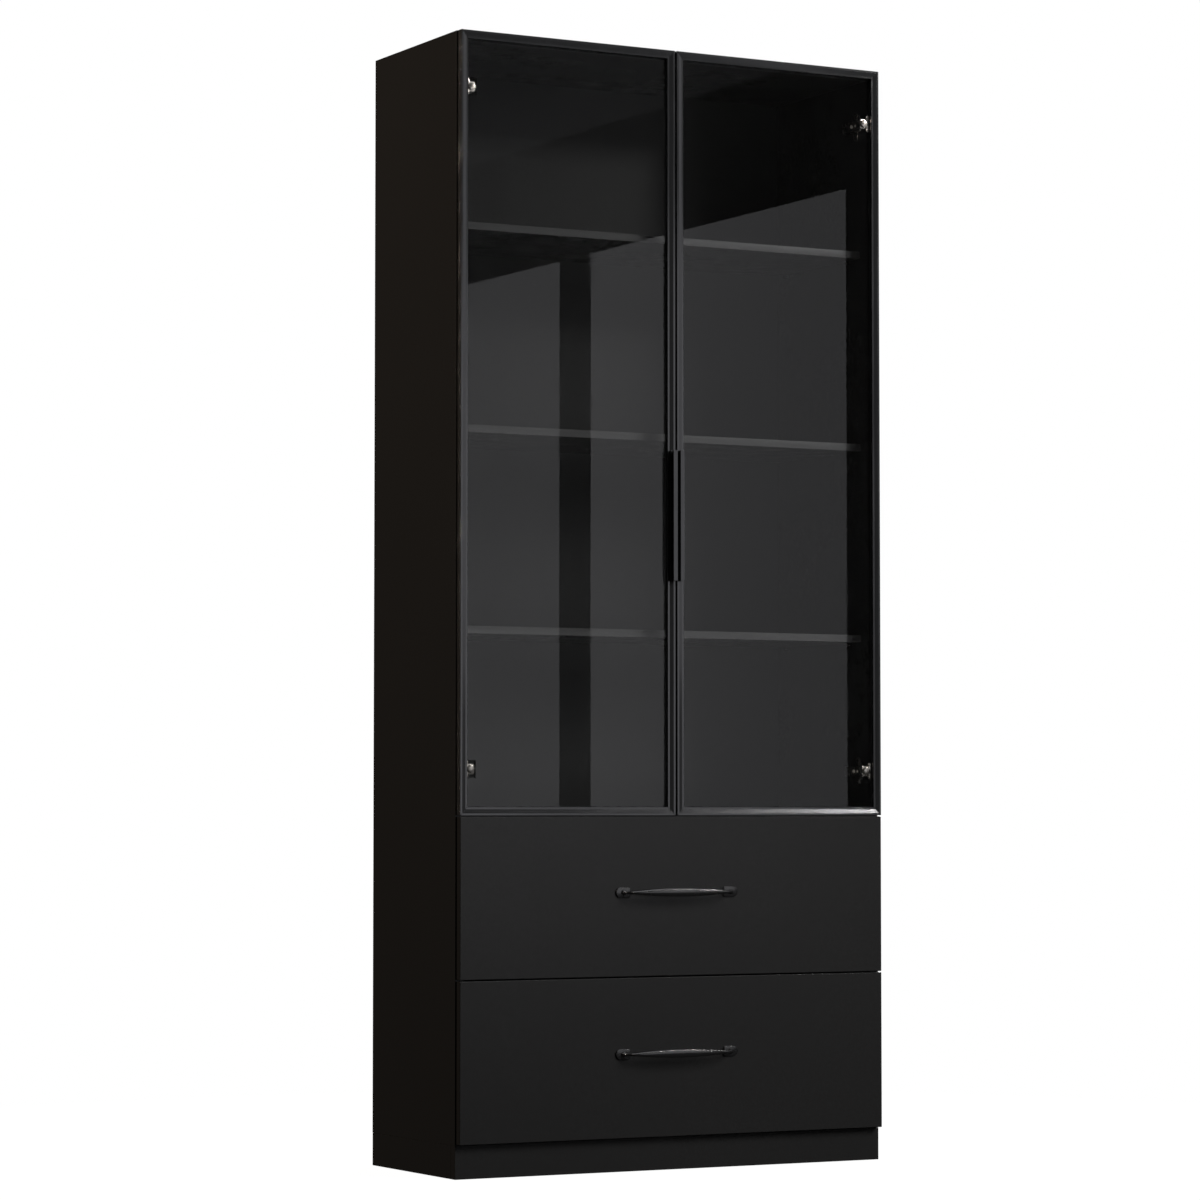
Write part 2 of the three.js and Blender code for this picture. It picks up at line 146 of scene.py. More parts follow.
class HardwareSettings(PropertyGroup):
    """Hinges, pulls, pins, runners and screws."""

    nickel: colour("Nickel", "Colour of the hinges and pins", (0.68, 0.65, 0.60))
    zinc: colour("Zinc", "Colour of the runners and screws", (0.55, 0.56, 0.56))
    lacquer: colour("Lacquer", "Colour of the drawer pulls", (0.0075, 0.0075, 0.0078))
    screw_radius: length("Screw head radius", "Radius of the larger screw heads", 3.4 * MM)
    bumper_radius: length("Bumper radius", "Radius of the door and drawer bumpers", 4.0 * MM)
    nail_pitch: length("Nail spacing", "Distance between the nails of the back board", 0.12)


class StageSettings(PropertyGroup):
    """Floor, lights and camera."""

    floor_radius: length("Floor radius", "Size of the pale floor", 9.0)
    camera_distance: length("Camera distance", "Level distance from the cabinet's middle", 6.8088)
    camera_height: length("Camera height", "Height of the lens above the floor", 0.5906)
    camera_side: degrees("Camera side", "Degrees round to the cabinet's left", 29.066)
    camera_turn: degrees("Camera turn", "Degrees that the view heads to the right of straight back", 28.600)
    camera_tilt: degrees("Camera tilt", "Degrees that the view looks up", 2.958)
    lens: FloatProperty(name="Lens", description="Focal length in millimetres", default=121.50)


class CabinetSettings(PropertyGroup):
    """All the sizes and colours of the cabinet."""

    boards: PointerProperty(type=BoardSettings)
    doors: PointerProperty(type=DoorSettings)
    hardware: PointerProperty(type=HardwareSettings)
    stage: PointerProperty(type=StageSettings)


def settings():
    """The sizes and colours that the panel shows."""
    return bpy.context.scene.china_cabinet


# ---------------------------------------------------------------- meshes from arrays


def grid_faces(rows, columns, close_rows, close_columns):
    """Quads of a grid of points: each joins a point to the next one along and across."""
    across = np.arange(columns if close_columns else columns - 1)
    along = np.arange(rows if close_rows else rows - 1)
    i, j = np.meshgrid(along, across, indexing="ij")
    i, j = i.ravel(), j.ravel()
    next_i, next_j = (i + 1) % rows, (j + 1) % columns
    corners = (i * columns + j, i * columns + next_j, next_i * columns + next_j, next_i * columns + j)
    return np.stack(corners, axis=1)


def make_mesh(name, points, quads, fans=()):
    """A mesh of points (n, 3), quads (m, 4) and any many-sided end faces."""
    mesh = bpy.data.meshes.new(name)
    mesh.from_pydata(points.tolist(), [], quads.tolist() + [list(fan) for fan in fans])
    mesh.validate()
    return mesh


def surface(name, points, close_rows=False, close_columns=True, cap_ends=True):
    """A closed skin over rings of points (rings, points in a ring, 3), with flat end caps."""
    rings, count = points.shape[:2]
    quads = grid_faces(rings, count, close_rows, close_columns)
    fans = []
    if cap_ends and not close_rows:
        last = (rings - 1) * count
        fans = [np.arange(count)[::-1], last + np.arange(count)]
    return make_mesh(name, points.reshape(-1, 3), quads, fans)


def outward(mesh):
    """Turns a closed mesh's faces outwards, after its doubles are merged."""
    work = bmesh.new()
    work.from_mesh(mesh)
    bmesh.ops.remove_doubles(work, verts=work.verts, dist=1e-7)
    bmesh.ops.recalc_face_normals(work, faces=work.faces)
    work.to_mesh(mesh)
    work.free()
    return mesh


def join_meshes(name, meshes):
    """One mesh from several closed ones, none of which touch."""
    work = bmesh.new()
    for mesh in meshes:
        work.from_mesh(mesh)
        bpy.data.meshes.remove(mesh)
    joined = bpy.data.meshes.new(name)
    work.to_mesh(joined)
    work.free()
    return joined


def placed(local, origin, axes):
    """Local points (..., 3) carried to a place with three axes: origin + a*A + b*B + c*C."""
    return np.asarray(origin) + local @ np.asarray(axes)


def rounded_ring(half_wide, half_tall, radius, steps=6):
    """Points round a rectangle with round corners: four quarter circles joined by straight sides."""
    turn = np.linspace(0, math.pi / 2, steps)
    corners = []
    for quarter, (right, up) in enumerate(((1, 1), (-1, 1), (-1, -1), (1, -1))):
        angle = turn + quarter * math.pi / 2
        centre = np.array((right * (half_wide - radius), up * (half_tall - radius)))
        corners.append(centre + radius * np.stack((np.cos(angle), np.sin(angle)), axis=1))
    return np.concatenate(corners)


def outline_normals(outline):
    """Outward unit normals of a closed outline that runs anticlockwise."""
    along = np.roll(outline, -1, axis=0) - np.roll(outline, 1, axis=0)
    normal = np.stack((along[:, 1], -along[:, 0]), axis=1)
    return normal / np.linalg.norm(normal, axis=1, keepdims=True)


def plate(name, outline, thickness, edge, origin, axes, steps=4):
    """A plate with round rims: the outline is drawn in by e(1 - sin a) as it rises by e(1 - cos a)."""
    turn = np.linspace(0, math.pi / 2, steps)
    inset = edge * (1 - np.sin(turn))
    rise = edge * (1 - np.cos(turn))
    insets = np.concatenate((inset, inset[::-1]))
    rises = np.concatenate((rise, thickness - rise[::-1]))
    normals = outline_normals(outline)
    flat = outline[None] - insets[:, None, None] * normals[None]
    heights = np.broadcast_to(rises[:, None, None], flat.shape[:2] + (1,))
    local = np.concatenate((flat, heights), axis=2)
    return outward(surface(name, placed(local, origin, axes)))


def square_to(axis):
    """Two unit directions square to an axis and to each other."""
    first = np.cross(axis, X if abs(axis[0]) < 0.9 else Y)
    first /= np.linalg.norm(first)
    return first, np.cross(axis, first)


def turned(name, profile, origin, axis, sides=28):
    """A turned solid: (radius, height) pairs in millimetres spun about an axis through origin."""
    profile = np.asarray(profile, float) * MM
    axis = np.asarray(axis, float)
    first, second = square_to(axis)
    angle = np.linspace(0, 2 * math.pi, sides, endpoint=False)
    circle = np.cos(angle)[:, None] * first + np.sin(angle)[:, None] * second
    rings = profile[:, 0][:, None, None] * circle[None] + profile[:, 1][:, None, None] * axis
    return outward(surface(name, rings + np.asarray(origin)))


def screw_head(name, origin, axis, radius, height, spin=0.0):
    """A domed head, h(1 - 0.97 (r/R)^2)^0.4 high, less a cross 0.75 h deep that fades at 0.62 R."""
    reach = np.concatenate((np.linspace(0.02, 0.7, 12), np.linspace(0.78, 1.0, 5)))
    angle = np.linspace(0, 2 * math.pi, 48, endpoint=False) + spin
    r, a = np.meshgrid(reach, angle, indexing="ij")
    dome = height * (1 - 0.97 * r**2) ** 0.4
    arm = np.minimum(np.abs(r * np.cos(a - spin)), np.abs(r * np.sin(a - spin)))
    inside = np.clip((0.62 - r) / 0.1, 0, 1) * np.clip((0.13 - arm) / 0.05, 0, 1)
    top = dome - inside * height * 0.75
    local = np.stack((r * radius * np.cos(a), r * radius * np.sin(a), top), axis=2)
    rim = local[-1].copy()
    rim[:, 2] = 0
    local = np.concatenate((local, rim[None]))
    axis = np.asarray(axis, float)
    return outward(surface(name, placed(local, origin, (*square_to(axis), axis))))


def smooth_path(points, steps):
    """A Catmull-Rom curve through points, as steps places between each pair of them."""
    points = np.asarray(points, float)
    ends = np.concatenate((2 * points[:1] - points[1:2], points, 2 * points[-1:] - points[-2:-1]))
    a, b, c, d = ends[:-3], ends[1:-2], ends[2:-1], ends[3:]
    t = np.linspace(0, 1, steps, endpoint=False)[None, :, None]
    a, b, c, d = (p[:, None] for p in (a, b, c, d))
    bend = (2 * a - 5 * b + 4 * c - d) * t**2
    twist = (3 * b - a - 3 * c + d) * t**3
    curve = 0.5 * (2 * b + (c - a) * t + bend + twist)
    return np.concatenate((curve.reshape(-1, points.shape[1]), points[-1:]))


def add_piece(name, mesh, finish_name, body, slot, crisp=35):
    """An object at the origin that rides on a body, smooth but for edges over crisp degrees."""
    piece = bpy.data.objects.new(name, mesh)
    bpy.context.scene.collection.objects.link(piece)
    mesh.materials.clear()
    mesh.materials.append(material(finish_name))
    mesh.shade_smooth()
    mesh.set_sharp_from_angle(angle=math.radians(crisp))
    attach(piece, body)
    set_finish(piece, slot)
    return piece


def replace_node(node, mesh, finish_name, crisp=35):
    """Adds the piece that stands for a CAD node, on its body and in its slot."""
    name, body, slot = f"{node}_finished", BODY_OF_NODE[node], SLOT_OF_NODE[node]
    piece = add_piece(name, mesh, finish_name, body, slot, crisp)
    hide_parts(node)
    return piece


def softened(node, radius, finish_name, steps=3, crisp=35):
    """A copy of a CAD node, welded and with whole flat faces, whose edges get a rounded bevel."""
    work = bmesh.new()
    work.from_mesh(frame["nodes"][node].data)
    bmesh.ops.remove_doubles(work, verts=work.verts, dist=2e-6)
    bmesh.ops.dissolve_limit(work, angle_limit=math.radians(0.5), verts=work.verts, edges=work.edges)
    mesh = bpy.data.meshes.new(node)
    work.to_mesh(mesh)
    work.free()
    for attribute in [a.name for a in mesh.attributes if a.name in ("custom_normal", "sharp_edge")]:
        mesh.attributes.remove(mesh.attributes[attribute])
    piece = replace_node(node, mesh, finish_name, crisp)
    bevel = piece.modifiers.new("Rounded edges", "BEVEL")
    bevel.width = radius
    bevel.segments = steps
    bevel.limit_method = "ANGLE"
    bevel.angle_limit = math.radians(38)
    bevel.harden_normals = True


# ---------------------------------------------------------------- shader node groups


def add(tree, kind, inputs=None, **choices):
    """A shader node whose inputs, by name or number, take plain values or another node's output."""
    node = tree.nodes.new(kind)
    for key, value in choices.items():
        setattr(node, key, value)
    for key, value in (inputs or {}).items():
        if isinstance(value, bpy.types.NodeSocket):
            tree.links.new(value, node.inputs[key])
        else:
            node.inputs[key].default_value = value
    return node


def calc(tree, operation, first, second=0.0):
    """One sum on two numbers or outputs."""
    return add(tree, "ShaderNodeMath", {0: first, 1: second}, operation=operation).outputs[0]


def spread(tree, value, low, high, new_low=0.0, new_high=1.0):
    """Maps a value from one range to another, held inside the new one."""
    values = {0: value, 1: low, 2: high, 3: new_low, 4: new_high}
    return add(tree, "ShaderNodeMapRange", values).outputs[0]


def opaque(colour_):
    """A plain colour with its fourth number, or a node's output as it is."""
    return colour_ if isinstance(colour_, bpy.types.NodeSocket) else tuple(colour_) + (1,)


def blend_colours(tree, factor, first, second):
    """A mix of two colours, by a number from 0 to 1."""
    values = {0: factor, 6: opaque(first), 7: opaque(second)}
    return add(tree, "ShaderNodeMix", values, data_type="RGBA").outputs[2]


def noise(tree, where, scale, detail=3.0, roughness=0.55):
    """Cloudy noise about 0.5, with the given number of finer layers."""
    values = {"Vector": where, "Scale": scale, "Detail": detail, "Roughness": roughness}
    return add(tree, "ShaderNodeTexNoise", values).outputs[0]


def new_group(name, inputs, outputs):
    """An empty node group with named number sockets, and its input and output nodes."""
    tree = bpy.data.node_groups.new(name, "ShaderNodeTree")
    for label, default in inputs.items():
        socket = tree.interface.new_socket(label, in_out="INPUT", socket_type="NodeSocketFloat")
        socket.default_value = default
    for label in outputs:
        tree.interface.new_socket(label, in_out="OUTPUT", socket_type="NodeSocketFloat")
    return tree, tree.nodes.new("NodeGroupInput"), tree.nodes.new("NodeGroupOutput")


def object_place(tree):
    """A point's place in the object's own coordinates, in metres."""
    return add(tree, "ShaderNodeTexCoord").outputs["Object"]


def foil_group():
    """Foil on board: small pebbles from a cell pattern, fine grit between them and slow tone drift."""
    tree, inlet, outlet = new_group("Foil texture", {"Size": 0.0005, "Drift": 0.3}, ("Height", "Tone"))
    where = object_place(tree)
    scale = calc(tree, "DIVIDE", 1.0, inlet.outputs["Size"])
    pebbles = {"Vector": where, "Scale": scale}
    cells = add(tree, "ShaderNodeTexVoronoi", pebbles, feature="SMOOTH_F1").outputs[0]
    grit = noise(tree, where, calc(tree, "MULTIPLY", scale, 2.3), 2.0)
    height = calc(tree, "ADD", calc(tree, "MULTIPLY", cells, 0.7), calc(tree, "MULTIPLY", grit, 0.5))
    cloud = noise(tree, where, inlet.outputs["Drift"], 3.0)
    tone = calc(tree, "ADD", calc(tree, "MULTIPLY", cloud, 0.6), calc(tree, "MULTIPLY", grit, 0.4))
    tree.links.new(height, outlet.inputs["Height"])
    tree.links.new(spread(tree, tone, 0.3, 0.7), outlet.inputs["Tone"])


def marks_group():
    """Handling marks: soft smudges from drifting noise, broken by a sparse set of fine rub lines."""
    tree, inlet, outlet = new_group("Handling marks", {"Scale": 7.0, "Amount": 1.0}, ("Smudge", "Dust"))
    where = object_place(tree)
    broad = noise(tree, where, inlet.outputs["Scale"], 4.0, 0.6)
    fine = noise(tree, where, calc(tree, "MULTIPLY", inlet.outputs["Scale"], 31.0), 2.0)
    smudge = calc(tree, "MULTIPLY", spread(tree, broad, 0.48, 0.72), spread(tree, fine, 0.3, 0.7, 0.5, 1.0))
    tree.links.new(calc(tree, "MULTIPLY", smudge, inlet.outputs["Amount"]), outlet.inputs["Smudge"])
    specks = noise(tree, where, 900.0, 1.0)
    tree.links.new(spread(tree, specks, 0.70, 0.78), outlet.inputs["Dust"])


def edge_group():
    """Edge mask for a painted highlight: how far a rounded-off normal leans from the flat one, broken up by
    noise.
    """
    tree, inlet, outlet = new_group("Painted edge highlight", {"Radius": 0.0012, "Breaks": 140.0}, ("Mask",))
    rounded = add(tree, "ShaderNodeBevel", {"Radius": inlet.outputs["Radius"]}, samples=4).outputs[0]
    true = add(tree, "ShaderNodeNewGeometry").outputs["True Normal"]
    both = {0: rounded, 1: true}
    lean = add(tree, "ShaderNodeVectorMath", both, operation="DOT_PRODUCT").outputs["Value"]
    broken = spread(tree, noise(tree, object_place(tree), inlet.outputs["Breaks"]), 0.35, 0.65, 0.45, 1.0)
    edge = spread(tree, lean, 0.995, 0.86)
    tree.links.new(calc(tree, "MULTIPLY", edge, broken), outlet.inputs["Mask"])


def brushed_group():
    """Brushed metal: noise drawn out along one axis, fine and coarse lines together."""
    inputs = {"Across X": 1.0, "Across Y": 1.0, "Across Z": 0.01, "Fineness": 2600.0}
    tree, inlet, outlet = new_group("Brushed lines", inputs, ("Height", "Tone"))
    stretch = add(tree, "ShaderNodeCombineXYZ", {k: inlet.outputs[k] for k in range(3)}).outputs[0]
    values = {0: object_place(tree), 1: stretch}
    drawn = add(tree, "ShaderNodeVectorMath", values, operation="MULTIPLY").outputs[0]
    fine = noise(tree, drawn, inlet.outputs["Fineness"], 2.0)
    coarse = noise(tree, drawn, calc(tree, "MULTIPLY", inlet.outputs["Fineness"], 0.17), 2.0)
    both = calc(tree, "ADD", calc(tree, "MULTIPLY", fine, 0.6), calc(tree, "MULTIPLY", coarse, 0.4))
    tree.links.new(both, outlet.inputs["Height"])
    tree.links.new(spread(tree, both, 0.35, 0.65), outlet.inputs["Tone"])


def group_node(tree, name, **inputs):
    """Places a node group in a material, with its own values."""
    node = add(tree, "ShaderNodeGroup", node_tree=bpy.data.node_groups[name])
    for label, value in inputs.items():
        node.inputs[label.replace("_", " ")].default_value = value
    return node


# ---------------------------------------------------------------- finishes


DUST_COLOUR = (0.09, 0.086, 0.08)
# Lighter grey painted on the pulls' edges as a painted highlight.
EDGE_HIGHLIGHT_COLOUR = (0.05, 0.048, 0.046)
DARK_STEEL = (0.035, 0.034, 0.033)
DARK_SCREW = (0.05, 0.048, 0.046)
RUBBER = (0.010, 0.010, 0.010)
SILICONE = (0.32, 0.32, 0.31)


def finish(name, **values):
    """A new material with a bare Principled BSDF whose plain sockets are set by name."""
    new = bpy.data.materials.new(name)
    new.use_nodes = True
    tree = new.node_tree
    shader = tree.nodes["Principled BSDF"]
    for label, value in values.items():
        shader.inputs[label.replace("_", " ")].default_value = value
    return tree, shader


def relief(tree, shader, height, distance):
    """Feeds a height pattern to the shader's normal, as a relief of the given depth."""
    bump = add(tree, "ShaderNodeBump", {"Strength": 1.0, "Distance": distance, "Height": height})
    tree.links.new(bump.outputs[0], shader.inputs["Normal"])


def shaded(colour_, factor):
    """A colour made darker or lighter by a factor."""
    return [min(c * factor, 1.0) for c in colour_]


def mottled(tree, tone, colour_, dark, light):
    """A colour that goes from a darker to a lighter shade of itself with a tone pattern."""
    return blend_colours(tree, tone, shaded(colour_, dark), shaded(colour_, light))


def varied(tree, pattern, middle, less, more):
    """A roughness about a middle value, from that much less to that much more with a pattern."""
    return spread(tree, pattern, 0.0, 1.0, middle - less, middle + more)


def changed(tree, value, operation, mask, amount):
    """A value with a share of a mask added to it or taken from it."""
    return calc(tree, operation, value, calc(tree, "MULTIPLY", mask, amount))


def foil_finish(name, colour_, roughness, grain, depth):
    """Matte foil on board: pebbled, with drifting tone, faint handling, and a painted highlight that
    lightens the edges.
    """
    tree, shader = finish(name, Specular_IOR_Level=0.5)
    texture = group_node(tree, "Foil texture", Size=grain, Drift=1.3)
    marks = group_node(tree, "Handling marks", Scale=5.0)
    edge = group_node(tree, "Painted edge highlight", Radius=1.1 * MM)
    tone = texture.outputs["Tone"]
    tinted = mottled(tree, tone, colour_, 0.9, 1.1)
    dusty = calc(tree, "MULTIPLY", marks.outputs["Dust"], 0.12)
    dusted = blend_colours(tree, dusty, tinted, DUST_COLOUR)
    # The edges are painted up to 1.7 times lighter as a painted highlight; the same mask also makes them a
    # little glossier.
    edge_share = calc(tree, "MULTIPLY", edge.outputs["Mask"], 0.8)
    edge_highlighted = blend_colours(tree, edge_share, dusted, shaded(colour_, 1.7))
    tree.links.new(edge_highlighted, shader.inputs["Base Color"])
    rough = varied(tree, tone, roughness, 0.03, 0.04)
    rough = changed(tree, rough, "SUBTRACT", marks.outputs["Smudge"], 0.03)
    rough = changed(tree, rough, "SUBTRACT", edge_share, 0.06)
    tree.links.new(rough, shader.inputs["Roughness"])
    relief(tree, shader, texture.outputs["Height"], depth)


def brushed_finish(name, colour_, roughness, axis):
    """Anodised metal, brushed along one axis, with faint smudges and a painted highlight that brightens the
    edges.
    """
    tree, shader = finish(name, Metallic=0.8)
    across = [1.0, 1.0, 1.0]
    across[axis] = 0.012
    lines = group_node(tree, "Brushed lines", Across_X=across[0], Across_Y=across[1], Across_Z=across[2])
    marks = group_node(tree, "Handling marks", Scale=14.0)
    edge = group_node(tree, "Painted edge highlight", Radius=0.6 * MM)
    tinted = mottled(tree, lines.outputs["Tone"], colour_, 0.86, 1.14)
    # The edges are painted up to 1.5 times brighter as a painted highlight.
    edge_share = calc(tree, "MULTIPLY", edge.outputs["Mask"], 0.55)
    edge_highlighted = blend_colours(tree, edge_share, tinted, shaded(colour_, 1.5))
    tree.links.new(edge_highlighted, shader.inputs["Base Color"])
    rough = varied(tree, lines.outputs["Tone"], roughness, 0.05, 0.05)
    rough = changed(tree, rough, "ADD", marks.outputs["Smudge"], 0.06)
    tree.links.new(rough, shader.inputs["Roughness"])
    relief(tree, shader, lines.outputs["Height"], 0.002 * MM)


def plated_finish(name, colour_, roughness):
    """Stamped and plated steel: cloudy tone, die lines and a little tarnish in noisy patches."""
    tree, shader = finish(name, Metallic=1.0)
    marks = group_node(tree, "Handling marks", Scale=60.0)
    lines = group_node(tree, "Brushed lines", Across_X=0.6, Across_Y=0.1, Across_Z=1.0, Fineness=1500.0)
    tarnish = calc(tree, "MULTIPLY", marks.outputs["Smudge"], 0.8)
    tinted = mottled(tree, tarnish, colour_, 1.0, 0.72)
    tree.links.new(tinted, shader.inputs["Base Color"])
    rough = varied(tree, marks.outputs["Smudge"], roughness, 0.04, 0.12)
    tree.links.new(rough, shader.inputs["Roughness"])
    relief(tree, shader, lines.outputs["Height"], 0.008 * MM)


def zinc_finish(name, colour_, roughness):
    """Zinc-plated strip: crystal patches of slightly different tone and gloss."""
    tree, shader = finish(name, Metallic=1.0)
    patches = add(tree, "ShaderNodeTexVoronoi", {"Vector": object_place(tree), "Scale": 260.0})
    tone = add(tree, "ShaderNodeSeparateColor", {0: patches.outputs["Color"]}).outputs[0]
    marks = group_node(tree, "Handling marks", Scale=25.0)
    tree.links.new(mottled(tree, tone, colour_, 0.8, 1.0), shader.inputs["Base Color"])
    rough = varied(tree, tone, roughness, 0.06, 0.06)
    rough = changed(tree, rough, "ADD", marks.outputs["Smudge"], 0.1)
    tree.links.new(rough, shader.inputs["Roughness"])
    relief(tree, shader, tone, 0.006 * MM)


def lacquer_finish(name, colour_, roughness):
    """Sprayed glossy lacquer: soft orange peel, faint smudges and edges painted lighter as a painted
    highlight.
    """
    tree, shader = finish(name, Specular_IOR_Level=0.8, Coat_Weight=1.0, Coat_Roughness=0.12)
    peel = noise(tree, object_place(tree), 700.0, 2.0, 0.4)
    marks = group_node(tree, "Handling marks", Scale=45.0)
    edge = group_node(tree, "Painted edge highlight", Radius=0.8 * MM, Breaks=400.0)
    tinted = mottled(tree, spread(tree, peel, 0.35, 0.65), colour_, 1.0, 1.35)
    # The edges are painted towards a lighter grey as a painted highlight.
    highlight_share = calc(tree, "MULTIPLY", edge.outputs["Mask"], 0.35)
    edge_highlighted = blend_colours(tree, highlight_share, tinted, EDGE_HIGHLIGHT_COLOUR)
    tree.links.new(edge_highlighted, shader.inputs["Base Color"])
    rough = varied(tree, marks.outputs["Smudge"], roughness, 0.03, 0.1)
    tree.links.new(rough, shader.inputs["Roughness"])
    relief(tree, shader, peel, 0.03 * MM)


def rubber_finish(name, colour_, roughness):
    """Moulded rubber: a very fine stippled skin with a dusty bloom."""
    tree, shader = finish(name, Specular_IOR_Level=0.35)
    texture = group_node(tree, "Foil texture", Size=0.25 * MM, Drift=30.0)
    tone = texture.outputs["Tone"]
    tree.links.new(mottled(tree, tone, colour_, 1.0, 1.8), shader.inputs["Base Color"])
    tree.links.new(varied(tree, tone, roughness, 0.06, 0.06), shader.inputs["Roughness"])
    relief(tree, shader, texture.outputs["Height"], 0.02 * MM)


def glass_finish(name, tint):
    """Clear grey glass with a slow ripple of the drawn sheet; lamps shine through it unbent."""
    tree, shader = finish(name, Metallic=0.0, Transmission_Weight=1.0, IOR=1.52)
    where = object_place(tree)
    ripple = noise(tree, where, 3.2, 1.0)
    film = noise(tree, where, 11.0, 4.0, 0.6)
    clean = mottled(tree, spread(tree, film, 0.5, 0.75), tint, 1.0, 0.985)
    tree.links.new(clean, shader.inputs["Base Color"])
    tree.links.new(spread(tree, film, 0.45, 0.8, 0.0, 0.035), shader.inputs["Roughness"])
    relief(tree, shader, ripple, 0.02 * MM)
    one_face = [c**0.5 for c in tint]
    through = add(tree, "ShaderNodeBsdfTransparent", {"Color": opaque(one_face)})
    lamp_ray = add(tree, "ShaderNodeLightPath").outputs["Is Shadow Ray"]
    both = add(tree, "ShaderNodeMixShader", {0: lamp_ray, 1: shader.outputs[0], 2: through.outputs[0]})
    tree.links.new(both.outputs[0], tree.nodes["Material Output"].inputs["Surface"])


def build_finishes():
    """Makes all the node groups, then all the finishes, which pieces then take by name."""
    for build in (foil_group, marks_group, edge_group, brushed_group):
        build()
    boards, doors, hardware = settings().boards, settings().doors, settings().hardware
    foil, aluminium, nickel = list(boards.colour), list(doors.colour), list(hardware.nickel)
    matte, satin = boards.roughness, doors.roughness
    foil_finish("Black foil board", foil, matte, boards.grain_size, 0.03 * MM)
    foil_finish("Back board", shaded(foil, 0.92), matte + 0.06, 0.8 * MM, 0.04 * MM)
    # The shelf edge tape is the same foil painted 2.7 times lighter: painted light for the shelf fronts,
    # which are better lit.
    foil_finish("Edge tape", shaded(foil, 2.7), matte + 0.1, 0.4 * MM, 0.01 * MM)
    foil_finish("Drawer box board", list(boards.drawer_colour), matte + 0.02, 0.6 * MM, 0.05 * MM)
    brushed_finish("Anodised stile", aluminium, satin, 2)
    brushed_finish("Anodised rail", aluminium, satin, 0)
    brushed_finish("Anodised handle", shaded(aluminium, 0.8), satin - 0.04, 2)
    plated_finish("Nickel hinge", nickel, 0.27)
    plated_finish("Hinge arm steel", shaded(nickel, 0.35), 0.3)
    plated_finish("Nickel screw", nickel, 0.3)
    plated_finish("Bright screw", shaded(nickel, 1.3), 0.5)
    plated_finish("Dark screw", DARK_SCREW, 0.4)
    plated_finish("Dark shelf pin", DARK_STEEL, 0.42)
    zinc_finish("Zinc runner", list(hardware.zinc), 0.36)
    lacquer_finish("Black lacquer pull", list(hardware.lacquer), 0.26)
    rubber_finish("Black rubber", RUBBER, 0.6)
    rubber_finish("Clear silicone", SILICONE, 0.35)
    glass_finish("Grey door glass", list(doors.glass_colour))


def material(name):
    """A finish that build_finishes made."""
    return bpy.data.materials[name]


# ---------------------------------------------------------------- boards


BOARD_NODES = (
    ("left_side_panel", "right_side_panel", "top_panel", "divider_panel", "base_panel")
    + ("plinth_front", "plinth_left", "plinth_right")
    + ("upper_shelf", "middle_shelf", "lower_shelf")
)
DRAWER_BOARDS = ("left_side", "right_side", "back", "bottom")
DRAWER_BOARD_EDGE = 0.4 * MM
GLUE_GAP = 0.02 * MM
NAIL_DOME = ((0.0005, 0.4), (0.9, 0.36), (1.6, 0.2), (1.9, 0.0))
NAIL_SINK = 0.42 * MM
NAIL_INSET = 4.0 * MM
NAIL_END_INSET = 8.0 * MM


def node_box(node):
    """A CAD node's lowest and highest corners as arrays."""
    low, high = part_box(node)
    return np.array(low), np.array(high)


def node_middle(node):
    """The middle of a CAD node's box."""
    low, high = node_box(node)
    return (low + high) / 2


class CABINET_OT_boards(Operator):
    """Rounds the edges of the carcass boards, shelves, drawer fronts and drawer boxes"""

    bl_idname = "cabinet.boards"
    bl_label = "Boards"

    def execute(self, context):
        boards = settings().boards
        for node in BOARD_NODES:
            softened(node, boards.edge, "Black foil board")
        softened("back_panel", boards.thin_edge, "Back board", 2)
        for level in LEVELS:
            softened(f"{level}_drawer_front", boards.front_edge, "Black foil board", 4)
            for part in DRAWER_BOARDS:
                softened(f"{level}_drawer_{part}", DRAWER_BOARD_EDGE, "Drawer box board", 2)
        return {"FINISHED"}


class CABINET_OT_edge_tapes(Operator):
    """Edge tapes of the shelves: thin strips with rounded rims glued to the front edges"""

    bl_idname = "cabinet.edge_tapes"
    bl_label = "Edge tapes"

    def execute(self, context):
        thick = settings().boards.tape
        for level in ("upper", "middle", "lower"):
            low, high = node_box(f"{level}_shelf")
            half_long = (high[0] - low[0]) / 2 - 0.2 * MM
            ring = rounded_ring((high[2] - low[2]) / 2, half_long, 0.3 * MM, 4)
            origin = (0.0, low[1] + GLUE_GAP, node_middle(f"{level}_shelf")[2])
            mesh = plate("tape", ring, thick, 0.25 * MM, origin, (Z, X, -Y))
            add_piece(f"{level}_shelf_edge_tape", mesh, "Edge tape", "cabinet", "board_black")
        return {"FINISHED"}


class CABINET_OT_back_nails(Operator):
    """Nails that hold the back board: low turned domes in rows along its edges and on the middle shelf"""

    bl_idname = "cabinet.back_nails"
    bl_label = "Back nails"

    def execute(self, context):
        low, high = node_box("back_panel")
        pitch = settings().hardware.nail_pitch
        face = high[1] - NAIL_SINK
        columns = (low[0] + NAIL_INSET, high[0] - NAIL_INSET)
        steps_up = 1 + round((high[2] - low[2]) / pitch)
        steps_across = 1 + round((columns[1] - columns[0]) / pitch)
        heights = np.linspace(low[2] + NAIL_END_INSET, high[2] - NAIL_END_INSET, steps_up)
        across = np.linspace(*columns, steps_across)[1:-1]
        shelf_height = node_middle("middle_shelf")[2]
        places = [(x, z) for x in columns for z in heights]
        places += [(x, z) for z in (heights[0], shelf_height, heights[-1]) for x in across]
        domes = [turned("nail", NAIL_DOME, (x, face, z), Y, 10) for x, z in places]
        mesh = join_meshes("back_nails", domes)
        add_piece("back_nails", mesh, "Zinc runner", "cabinet", "pin_steel")
        return {"FINISHED"}


